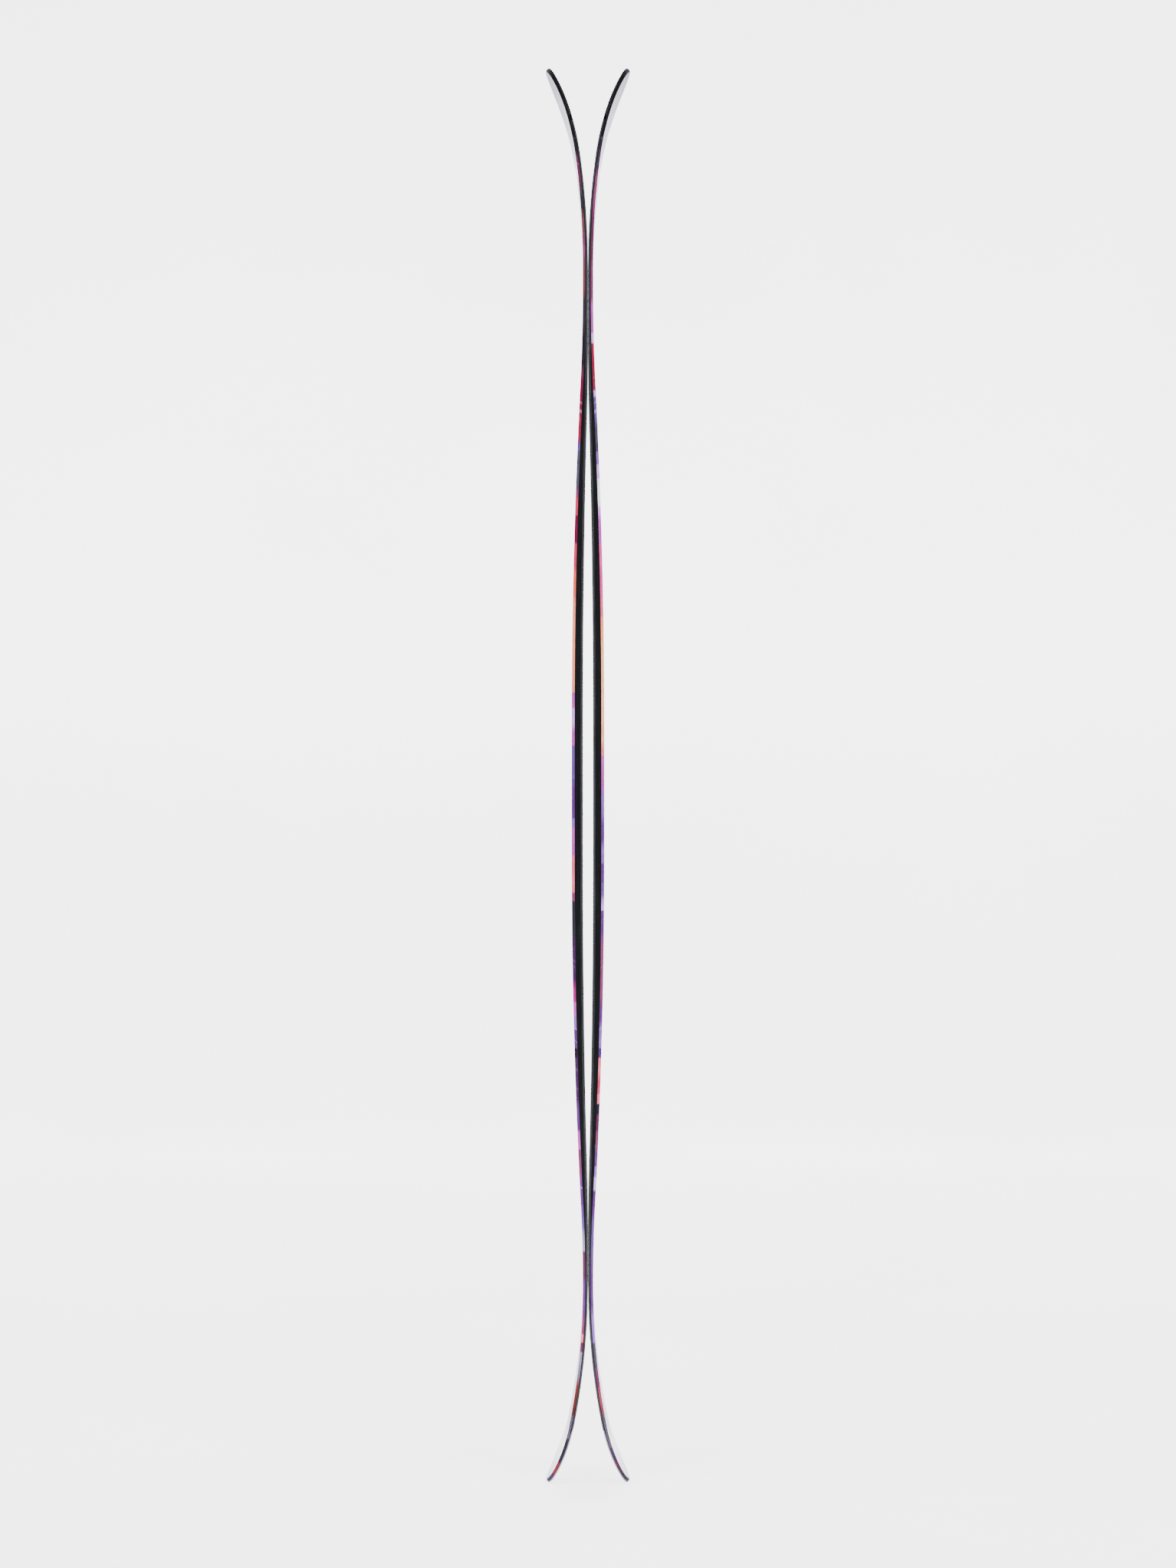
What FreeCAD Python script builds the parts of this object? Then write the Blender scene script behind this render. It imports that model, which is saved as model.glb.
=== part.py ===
"""A pair of twin-tip alpine skis, stored base to base and standing on their tails.

Each ski is a sandwich: running base and steel edges, glass plies, a wood core between
sidewalls, a reinforcement plate, an upper ply and a printed topsheet rolled over a shoulder.
+Z runs from tails to tips, X is thickness and Y is width.  The right ski is modelled on the
+X side with its base towards X = 0, and the left ski is the same ski turned half a turn
about Z.  Millimetres throughout.
"""

import FreeCAD, Part
import math
import os

import Sketcher

V = FreeCAD.Vector
SHEET_NAME = "Sizes"

# Driving dimensions: alias, value.
SIZES = {
    # side view, along the ski
    "waist_station": 870.0,
    "waist_flat": 160.0,
    "half_gap": 0.15,
    "camber": 6.4,
    "camber_run": 475.0,
    "camber_radius": 15000.0,
    "front_contact": 100.0,
    "rear_contact": 60.0,
    "tip_rocker_radius": 980.0,
    "tip_rocker_turn": 8.0,
    "tip_upturn_radius": 340.163,
    "tip_angle": 29.2,
    "tail_rocker_radius": 890.0,
    "tail_rocker_turn": 11.0,
    "tail_upturn_radius": 262.715,
    "tail_angle": 31.0,
    "overrun_turn": 2.5,
    # thickness, running surface to topsheet
    "waist_thickness": 13.8,
    "contact_thickness": 6.3,
    "crown_radius": 8300.0,
    "front_crown_run": 547.0,
    "rear_crown_run": 530.0,
    "front_thin_start": 2.4,
    "rear_thin_start": 2.8,
    # plan view
    "no_inset": 0.0,
    "waist_width": 100.0,
    "tip_width": 130.0,
    "tail_width": 122.0,
    "sidecut_radius": 19000.0,
    "waist_narrowest": 840.0,
    "tip_widest": 1650.0,
    "tail_widest": 105.0,
    "tip_nose_radius": 62.0,
    "tip_shoulder_radius": 90.0,
    "tail_nose_radius": 58.0,
    "tail_shoulder_radius": 110.0,
    # layers
    "base_thickness": 1.4,
    "edge_head_width": 2.2,
    "edge_head_height": 2.0,
    "damping_thickness": 0.4,
    "lower_ply_thickness": 0.6,
    "upper_ply_thickness": 0.4,
    "topsheet_thickness": 0.5,
    "shoulder": 2.0,
    "sidewall_width": 8.0,
    "plate_thickness": 0.8,
    "plate_length": 600.0,
    "ash_strip_width": 7.0,
    "ash_strip_pitch": 24.0,
    # where pieces begin and end along the ski
    "edge_rear_end": 75.0,
    "edge_front_end": 1710.0,
    "core_rear_end": 150.0,
    "core_front_end": 1600.0,
    # working sizes of the cutting forms
    "form_depth": 60.0,
    "form_width": 180.0,
    "form_reach": 2000.0,
}

# Sides of a ski as worn: both inner sides lie towards -Y when the pair stands base to base.
SIDES = {"outer": 1, "inner": -1}

# Placements of sketches: along the ski by height above the snow, and along the ski by width.
ALONG_AND_RISE = FreeCAD.Rotation(V(1, 1, 1), -120.0)
ALONG_AND_WIDTH = FreeCAD.Rotation(V(0, 1, 0), -90.0)


def sized(alias):
    """Expression that reads one driving dimension."""
    return f"{SHEET_NAME}.{alias}"


def make_sheet(doc):
    sheet = doc.addObject("Spreadsheet::Sheet", SHEET_NAME)
    for row, (alias, value) in enumerate(SIZES.items(), start=1):
        sheet.set(f"A{row}", alias)
        sheet.set(f"B{row}", str(value))
        sheet.setAlias(f"B{row}", alias)
    doc.recompute()
    return sheet


# ---------------------------------------------------------------- sketch tools


def walk(start, steps):
    """Nodes (along, rise, heading) of a tangent chain; steps are (length, radius, turn)."""
    nodes = [start]
    for length, radius, turn in steps:
        along, rise, heading = nodes[-1]
        if turn == 0:
            along += length * math.cos(heading)
            rise += length * math.sin(heading)
            nodes.append((along, rise, heading))
            continue
        after = heading + turn
        side = math.copysign(radius, turn)
        along += side * (math.sin(after) - math.sin(heading))
        rise -= side * (math.cos(after) - math.cos(heading))
        nodes.append((along, rise, after))
    return nodes


def chain_piece(node, following):
    """Line or arc between two nodes, with its tail-side and tip-side vertex numbers."""
    start = V(node[0], node[1], 0)
    end = V(following[0], following[1], 0)
    turn = following[2] - node[2]
    if abs(turn) < 1e-9:
        return Part.LineSegment(start, end), 1, 2
    radius = start.distanceToPoint(end) / (2 * math.sin(abs(turn) / 2))
    side = math.copysign(1.0, turn)
    centre = start + V(-math.sin(node[2]), math.cos(node[2]), 0) * radius * side
    circle = Part.Circle(centre, V(0, 0, 1), radius)
    first = node[2] - side * math.pi / 2
    last = following[2] - side * math.pi / 2
    if side > 0:
        return Part.ArcOfCircle(circle, first, last), 1, 2
    return Part.ArcOfCircle(circle, last, first), 2, 1


class Drawing:
    """A sketch whose dimensions are named expressions."""

    def __init__(self, doc, name, placement):
        self.sketch = doc.addObject("Sketcher::SketchObject", name)
        self.sketch.Placement = placement

    def add(self, piece):
        return self.sketch.addGeometry(piece, False)

    def rule(self, *terms):
        return self.sketch.addConstraint(Sketcher.Constraint(*terms))

    def size(self, expression, *terms):
        number = self.rule(*terms)
        self.sketch.setExpression(f"Constraints[{number}]", expression)

    def across(self, expression, value, first, second):
        self.size(expression, "DistanceX", *first, *second, value)

    def up(self, expression, value, first, second):
        self.size(expression, "DistanceY", *first, *second, value)


ORIGIN = (-1, 1)


def solve_check(drawing):
    state = drawing.sketch.solve()
    if state != 0:
        raise SystemExit(f"sketch {drawing.sketch.Name} does not solve: {state}")


# ---------------------------------------------------------------- master lines of the side view


def foot_radius(run, drop, crown):
    """Radius of the arc that brings an arc of radius crown back level after run and drop."""
    return (run * run + drop * drop) / (2 * drop) - crown


def half_nodes(level, low, crown, half, beyond):
    """Nodes of one half of a master line, from the middle of the ski outwards.

    beyond is how many degrees the last arc runs on past the apex of the nose.
    """
    run = half["run"][1]
    foot = foot_radius(run, level - low, crown)
    turn = math.asin(run / (crown + foot))
    rocker_turn = half["rocker_turn"][1]
    steps = [
        (SIZES["waist_flat"] / 2, None, 0),
        (None, crown, -turn),
        (None, foot, turn),
        (half["flat"][1], None, 0),
        (None, half["rocker"][1], math.radians(rocker_turn)),
        (None, half["upturn"][1], math.radians(half["end_turn"][1] + beyond - rocker_turn)),
    ]
    return walk((0.0, level, 0.0), steps)[1:]


def master_line(doc, name, level, low, crown, front, rear):
    """Open chain of 11 tangent pieces from beyond the tail to beyond the tip.

    level and low are the heights at the waist and at the contact zones; front and rear give
    run, flat, rocker, rocker_turn, upturn and end_turn.  Every entry is (expression, value).
    """
    centre = SIZES["waist_station"]
    beyond = SIZES["overrun_turn"]
    forward = half_nodes(level[1], low[1], crown[1], front, beyond)
    backward = half_nodes(level[1], low[1], crown[1], rear, beyond)
    nodes = [(centre - along, rise, -heading) for along, rise, heading in reversed(backward)]
    nodes += [(centre + along, rise, heading) for along, rise, heading in forward]

    drawing = Drawing(doc, name, FreeCAD.Placement(V(0, 0, 0), ALONG_AND_RISE))
    pieces = []
    for node, following in zip(nodes, nodes[1:]):
        piece, tail_end, tip_end = chain_piece(node, following)
        pieces.append((drawing.add(piece), tail_end, tip_end))
    for (first, _, leaving), (second, entering, _) in zip(pieces, pieces[1:]):
        drawing.rule("Tangent", first, leaving, second, entering)

    rear_up, rear_rock, rear_flat, _, rear_crown, waist = pieces[:6]
    front_crown, _, front_flat, front_rock, front_up = pieces[6:]
    for flat, height in ((rear_flat, low), (waist, level), (front_flat, low)):
        drawing.rule("Horizontal", flat[0])
        drawing.up(height[0], height[1], ORIGIN, (flat[0], 1))
    for arc in (rear_crown, front_crown):
        drawing.size(crown[0], "Radius", arc[0], crown[1])
    waist_start = f"{sized('waist_station')} - {sized('waist_flat')} / 2"
    drawing.across(waist_start, centre - SIZES["waist_flat"] / 2, ORIGIN, (waist[0], 1))
    drawing.across(sized("waist_flat"), SIZES["waist_flat"], (waist[0], 1), (waist[0], 2))
    drawing.across(*front["run"], (waist[0], 2), (front_flat[0], 1))
    drawing.across(*rear["run"], (rear_flat[0], 2), (waist[0], 1))
    fore = (front, front_flat, front_rock, front_up)
    aft = (rear, rear_flat, rear_rock, rear_up)
    for half, flat, rock, up in (fore, aft):
        drawing.across(*half["flat"], (flat[0], 1), (flat[0], 2))
        drawing.size(half["rocker"][0], "Radius", rock[0], half["rocker"][1])
        drawing.size(half["upturn"][0], "Radius", up[0], half["upturn"][1])
        turn, turn_value = half["rocker_turn"]
        end, end_value = half["end_turn"]
        last_turn = f"({end} + {sized('overrun_turn')} - {turn}) * 1deg"
        last_value = end_value + SIZES["overrun_turn"] - turn_value
        drawing.size(f"({turn}) * 1deg", "Angle", rock[0], math.radians(turn_value))
        drawing.size(last_turn, "Angle", up[0], math.radians(last_value))
    solve_check(drawing)
    return drawing.sketch


def pair(alias):
    return sized(alias), SIZES[alias]


def thinner(alias):
    """A radius of the deck: the running line's radius less the thickness at the contact zone."""
    expression = f"{sized(alias)} - {sized('contact_thickness')}"
    return expression, SIZES[alias] - SIZES["contact_thickness"]


def running_halves():
    front = {
        "run": pair("camber_run"), "flat": pair("front_contact"),
        "rocker": pair("tip_rocker_radius"), "rocker_turn": pair("tip_rocker_turn"),
        "upturn": pair("tip_upturn_radius"), "end_turn": pair("tip_angle"),
    }
    rear = {
        "run": pair("camber_run"), "flat": pair("rear_contact"),
        "rocker": pair("tail_rocker_radius"), "rocker_turn": pair("tail_rocker_turn"),
        "upturn": pair("tail_upturn_radius"), "end_turn": pair("tail_angle"),
    }
    return front, rear


def running_line(doc):
    front, rear = running_halves()
    level = (f"{sized('half_gap')} + {sized('camber')}", SIZES["half_gap"] + SIZES["camber"])
    return master_line(doc, "running_line", level, pair("half_gap"), pair("camber_radius"), front, rear)


def deck_flat(crown_run, contact, thin_start):
    """Length of the deck's level stretch over one contact zone."""
    expression = (
        f"{sized('camber_run')} + {sized(contact)} + {sized(thin_start)} - {sized(crown_run)}"
    )
    return expression, SIZES["camber_run"] + SIZES[contact] + SIZES[thin_start] - SIZES[crown_run]


def deck_line(doc):
    front = {
        "run": pair("front_crown_run"),
        "flat": deck_flat("front_crown_run", "front_contact", "front_thin_start"),
        "rocker": thinner("tip_rocker_radius"), "rocker_turn": pair("tip_rocker_turn"),
        "upturn": thinner("tip_upturn_radius"), "end_turn": pair("tip_angle"),
    }
    rear = {
        "run": pair("rear_crown_run"),
        "flat": deck_flat("rear_crown_run", "rear_contact", "rear_thin_start"),
        "rocker": thinner("tail_rocker_radius"), "rocker_turn": pair("tail_rocker_turn"),
        "upturn": thinner("tail_upturn_radius"), "end_turn": pair("tail_angle"),
    }
    level = (
        f"{sized('half_gap')} + {sized('camber')} + {sized('waist_thickness')}",
        SIZES["half_gap"] + SIZES["camber"] + SIZES["waist_thickness"],
    )
    low = (
        f"{sized('half_gap')} + {sized('contact_thickness')}",
        SIZES["half_gap"] + SIZES["contact_thickness"],
    )
    return master_line(doc, "deck_line", level, low, pair("crown_radius"), front, rear)


# ---------------------------------------------------------------- outlines


def on_side(nodes, side):
    """The chain's nodes on the +Y or the -Y side."""
    return [(along, side * across, side * heading) for along, across, heading in nodes]


def plan_nodes(inset):
    """Nodes of the +Y side of the outline, from beyond the tail to beyond the tip."""
    waist = SIZES["waist_narrowest"]
    radius = SIZES["sidecut_radius"] + inset
    halves = []
    for run, width in ((waist - SIZES["tail_widest"], SIZES["tail_width"]),
                       (SIZES["tip_widest"] - waist, SIZES["tip_width"])):
        roll = foot_radius(run, (width - SIZES["waist_width"]) / 2, radius)
        turn = math.asin(run / (radius + roll))
        steps = [(None, radius, turn), (None, roll, -turn), (SIZES["form_reach"] / 2, None, 0)]
        halves.append(walk((0.0, SIZES["waist_width"] / 2 - inset, 0.0), steps)[1:])
    tail = [(waist - along, across, -heading) for along, across, heading in reversed(halves[0])]
    return tail + [(waist + along, across, heading) for along, across, heading in halves[1]]


def join_ends(drawing, first, last):
    """Close an outline with a line between two ends, each (piece, vertex, point)."""
    closing = drawing.add(Part.LineSegment(first[2], last[2]))
    drawing.rule("Coincident", closing, 1, first[0], first[1])
    drawing.rule("Coincident", closing, 2, last[0], last[1])


def sidecut_outline(doc, name, inset_alias):
    """Closed outline seen along X: the sidecut, and straight beyond the widest points."""
    drawing = Drawing(doc, name, FreeCAD.Placement(V(0, 0, 0), ALONG_AND_WIDTH))
    inset = SIZES[inset_alias]
    reach = SIZES["form_reach"] / 2
    tail_ends, tip_ends = [], []
    for side in (1, -1):
        nodes = on_side(plan_nodes(inset), side)
        pieces = []
        for node, following in zip(nodes, nodes[1:]):
            piece, tail_end, tip_end = chain_piece(node, following)
            pieces.append((drawing.add(piece), tail_end, tip_end))
        for (first, _, leaving), (second, entering, _) in zip(pieces, pieces[1:]):
            drawing.rule("Tangent", first, leaving, second, entering)
        tail, _, sidecut, _, tip = [piece[0] for piece in pieces]
        for line, alias in ((tail, "tail_width"), (tip, "tip_width")):
            half = side * (SIZES[alias] / 2 - inset)
            drawing.rule("Horizontal", line)
            drawing.up(f"{side} * ({sized(alias)} / 2 - {sized(inset_alias)})", half, ORIGIN, (line, 1))
            drawing.across(f"{sized('form_reach')} / 2", reach, (line, 1), (line, 2))
        radius = SIZES["sidecut_radius"] + inset
        middle = side * (SIZES["waist_width"] / 2 + SIZES["sidecut_radius"])
        drawing.size(f"{sized('sidecut_radius')} + {sized(inset_alias)}", "Radius", sidecut, radius)
        drawing.across(*pair("waist_narrowest"), ORIGIN, (sidecut, 3))
        drawing.up(
            f"{side} * ({sized('waist_width')} / 2 + {sized('sidecut_radius')})",
            middle, ORIGIN, (sidecut, 3),
        )
        drawing.across(*pair("tail_widest"), ORIGIN, (tail, 2))
        drawing.across(*pair("tip_widest"), ORIGIN, (tip, 1))
        tail_ends.append((tail, 1, V(nodes[0][0], nodes[0][1], 0)))
        tip_ends.append((tip, 2, V(nodes[-1][0], nodes[-1][1], 0)))
    join_ends(drawing, *tail_ends)
    join_ends(drawing, *tip_ends)
    solve_check(drawing)
    return drawing.sketch


def nose_surround(doc, name, end, apex, inset_alias):
    """Closed region around a nose, seen square to the ski at the nose's apex.

    The sketch's origin is the apex, which is (along, rise, turn of the sketch about Y).
    """
    along, rise, tilt = apex
    placement = FreeCAD.Placement(V(rise, 0, along), FreeCAD.Rotation(V(0, 1, 0), tilt))
    drawing = Drawing(doc, name, placement)
    inset = SIZES[inset_alias]
    less = f"- {sized(inset_alias)}"
    half_width = SIZES[f"{end}_width"] / 2 - inset
    nose = SIZES[f"{end}_nose_radius"] - inset
    shoulder = SIZES[f"{end}_shoulder_radius"] - inset
    centre = -SIZES[f"{end}_nose_radius"]
    out = SIZES["form_width"] / 2
    ahead = SIZES["form_depth"]
    turn = math.acos((shoulder - half_width) / (shoulder - nose))
    start = (centre - (shoulder - nose) * math.sin(turn), half_width, 0.0)
    flank = walk(start, [(None, shoulder, -turn)])

    circle = Part.Circle(V(centre, 0, 0), V(0, 0, 1), nose)
    tip = drawing.add(Part.ArcOfCircle(circle, turn - math.pi / 2, math.pi / 2 - turn))
    drawing.size(f"{sized(end + '_nose_radius')} {less}", "Radius", tip, nose)
    drawing.across(f"-{sized(end + '_nose_radius')}", centre, ORIGIN, (tip, 3))
    drawing.rule("PointOnObject", tip, 3, -1)
    ends = []
    for side, tip_vertex in ((1, 2), (-1, 1)):
        nodes = on_side(flank, side)
        arc_piece, entering, leaving = chain_piece(nodes[0], nodes[1])
        arc = drawing.add(arc_piece)
        drawing.rule("Tangent", arc, leaving, tip, tip_vertex)
        drawing.size(f"{sized(end + '_shoulder_radius')} {less}", "Radius", arc, shoulder)
        corner = V(start[0], side * out, 0)
        outwards = drawing.add(Part.LineSegment(V(start[0], side * half_width, 0), corner))
        drawing.rule("Coincident", outwards, 1, arc, entering)
        drawing.rule("Vertical", outwards)
        drawing.rule("PointOnObject", arc, 3, outwards)
        half = f"{side} * ({sized(end + '_width')} / 2 {less})"
        drawing.up(half, side * half_width, ORIGIN, (outwards, 1))
        drawing.up(f"{side} * {sized('form_width')} / 2", side * out, ORIGIN, (outwards, 2))
        onwards = drawing.add(Part.LineSegment(corner, V(ahead, side * out, 0)))
        drawing.rule("Coincident", onwards, 1, outwards, 2)
        drawing.rule("Horizontal", onwards)
        drawing.across(*pair("form_depth"), ORIGIN, (onwards, 2))
        ends.append((onwards, 2, V(ahead, side * out, 0)))
    join_ends(drawing, *ends)
    solve_check(drawing)
    return drawing.sketch


# ---------------------------------------------------------------- forms: slabs, prisms and booleans


def extrude(doc, name, source, direction, length_alias):
    prism = doc.addObject("Part::Extrusion", name)
    prism.Base = source
    prism.DirMode = "Custom"
    prism.Dir = direction
    prism.setExpression("LengthFwd", sized(length_alias))
    prism.Symmetric = True
    prism.Solid = True
    return prism


def slab(doc, name, line, expression):
    """Everything between a master line and its offset towards +X, across the whole width."""
    strip = doc.addObject("Part::Offset2D", f"{name}_strip")
    strip.Source = line
    strip.setExpression("Value", f"-({expression})")
    strip.Mode = "Skin"
    strip.Join = "Intersection"
    strip.Fill = True
    return extrude(doc, name, strip, V(0, 1, 0), "form_width")


def prism(doc, name, outline):
    """A closed outline drawn out both ways, square to its own plane."""
    square = outline.Placement.Rotation.multVec(V(0, 0, 1))
    return extrude(doc, name, outline, square, "form_reach")


def common(doc, name, *shapes):
    result = doc.addObject("Part::MultiCommon", name)
    result.Shapes = list(shapes)
    return result


def fuse(doc, name, *shapes):
    result = doc.addObject("Part::MultiFuse", name)
    result.Shapes = list(shapes)
    return result


def cut(doc, name, base, tool):
    result = doc.addObject("Part::Cut", name)
    result.Base = base
    result.Tool = tool
    return result


def zone(doc, name, rear, front, side=0, low=None, high=None):
    """Box between two stations: the whole width, one side of Y = 0, or from low to high in Y."""
    box = doc.addObject("Part::Box", name)
    width = sized("form_width")
    if side > 0:
        low, high = "0", width
    elif side < 0:
        low, high = f"-{width}", "0"
    elif low is None:
        low, high = f"-{width}", width
    box.setExpression("Length", f"2 * {sized('form_width')}")
    box.setExpression("Width", f"{high} - ({low})")
    box.setExpression("Height", f"{front} - ({rear})")
    box.setExpression("Placement.Base.x", f"-{sized('form_width')}")
    box.setExpression("Placement.Base.y", low)
    box.setExpression("Placement.Base.z", rear)
    return box


def faces_deckward(face):
    """True for a face of the deck: its outward side looks towards +X more than sideways."""
    low_u, high_u, low_v, high_v = face.ParameterRange
    return face.normalAt((low_u + high_u) / 2, (low_v + high_v) / 2).x > 0.8


def rim_edges(shape):
    """Names of the edges between a deck face and the sides or the noses."""
    names = []
    for number, edge in enumerate(shape.Edges, start=1):
        towards = [faces_deckward(face) for face in shape.ancestorsOfType(edge, Part.Face)]
        if towards.count(True) == 1:
            names.append(f"Edge{number}")
    return names


def shouldered(doc, name, blank, size_expression):
    """A body that bevels the rim of the blank's deck side all the way round the ski."""
    body = doc.addObject("PartDesign::Body", name)
    body.BaseFeature = blank
    doc.recompute()
    base = body.Group[0]
    bevel = body.newObject("PartDesign::Chamfer", f"{name}_bevel")
    bevel.Base = (base, rim_edges(base.Shape))
    bevel.setExpression("Size", size_expression)
    body.Tip = bevel
    doc.recompute()
    if body.Shape.Volume >= blank.Shape.Volume:
        raise SystemExit(f"{name}: the bevel took nothing off")
    return body


# ---------------------------------------------------------------- the ski


def apex_of(end):
    """Where the running line ends in a nose: (along, rise, turn of the nose's sketch about Y)."""
    front, rear = running_halves()
    level = SIZES["half_gap"] + SIZES["camber"]
    half = front if end == "tip" else rear
    out, rise, heading = half_nodes(level, SIZES["half_gap"], SIZES["camber_radius"], half, 0.0)[-1]
    degrees = math.degrees(heading)
    if end == "tip":
        return SIZES["waist_station"] + out, rise, degrees - 90.0
    return SIZES["waist_station"] - out, rise, 90.0 - degrees


def outline_form(doc, name, inset_alias):
    """The ski's outline as a solid: sidecut along X, noses square to the ski at their apexes."""
    sides = sidecut_outline(doc, f"{name}_sidecut", inset_alias)
    surrounds = []
    for end in ("tip", "tail"):
        sketch = nose_surround(doc, f"{name}_{end}_surround", end, apex_of(end), inset_alias)
        surrounds.append(prism(doc, f"{name}_{end}_waste", sketch))
    waste = fuse(doc, f"{name}_waste", *surrounds)
    return cut(doc, name, prism(doc, f"{name}_sides", sides), waste)


def stacked(*aliases):
    """Expression for the sum of several sizes."""
    return " + ".join(sized(alias) for alias in aliases)


def build_forms(doc):
    """Every working solid that the layers of the ski are cut from."""
    running = running_line(doc)
    deck = deck_line(doc)
    forms = {
        "outline": outline_form(doc, "outline", "no_inset"),
        "inside_edge": outline_form(doc, "inside_edge", "edge_head_width"),
        "inside_wall": outline_form(doc, "inside_wall", "sidewall_width"),
        "above_running": slab(doc, "above_running", running, sized("form_depth")),
        "below_deck": slab(doc, "below_deck", deck, f"-{sized('form_depth')}"),
        "to_base": slab(doc, "to_base", running, sized("base_thickness")),
        "to_head": slab(doc, "to_head", running, sized("edge_head_height")),
        "to_damping": slab(
            doc, "to_damping", running, stacked("edge_head_height", "damping_thickness")
        ),
        "to_lower_ply": slab(
            doc, "to_lower_ply", running,
            stacked("edge_head_height", "damping_thickness", "lower_ply_thickness"),
        ),
        "topsheet_skin": slab(doc, "topsheet_skin", deck, f"-{sized('topsheet_thickness')}"),
        "upper_skin": slab(
            doc, "upper_skin", deck, f"-({stacked('topsheet_thickness', 'upper_ply_thickness')})"
        ),
        "plate_skin": slab(
            doc, "plate_skin", deck,
            f"-({stacked('topsheet_thickness', 'upper_ply_thickness', 'plate_thickness')})",
        ),
    }
    doc.recompute()
    blank = common(doc, "blank", forms["above_running"], forms["below_deck"], forms["outline"])
    bare_blank = cut(doc, "blank_below_topsheet", blank, forms["topsheet_skin"])
    core_blank = cut(doc, "blank_below_upper_ply", blank, forms["upper_skin"])
    doc.recompute()
    bevel = sized("shoulder")
    growth = "(sqrt(2) - 1)"
    forms["outer"] = shouldered(doc, "outer_form", blank, bevel)
    forms["below_topsheet"] = shouldered(
        doc, "form_below_topsheet", bare_blank, f"{bevel} + {growth} * {sized('topsheet_thickness')}"
    )
    forms["below_upper_ply"] = shouldered(
        doc, "form_below_upper_ply", core_blank,
        f"{bevel} + {growth} * ({stacked('topsheet_thickness', 'upper_ply_thickness')})",
    )
    return forms


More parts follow.
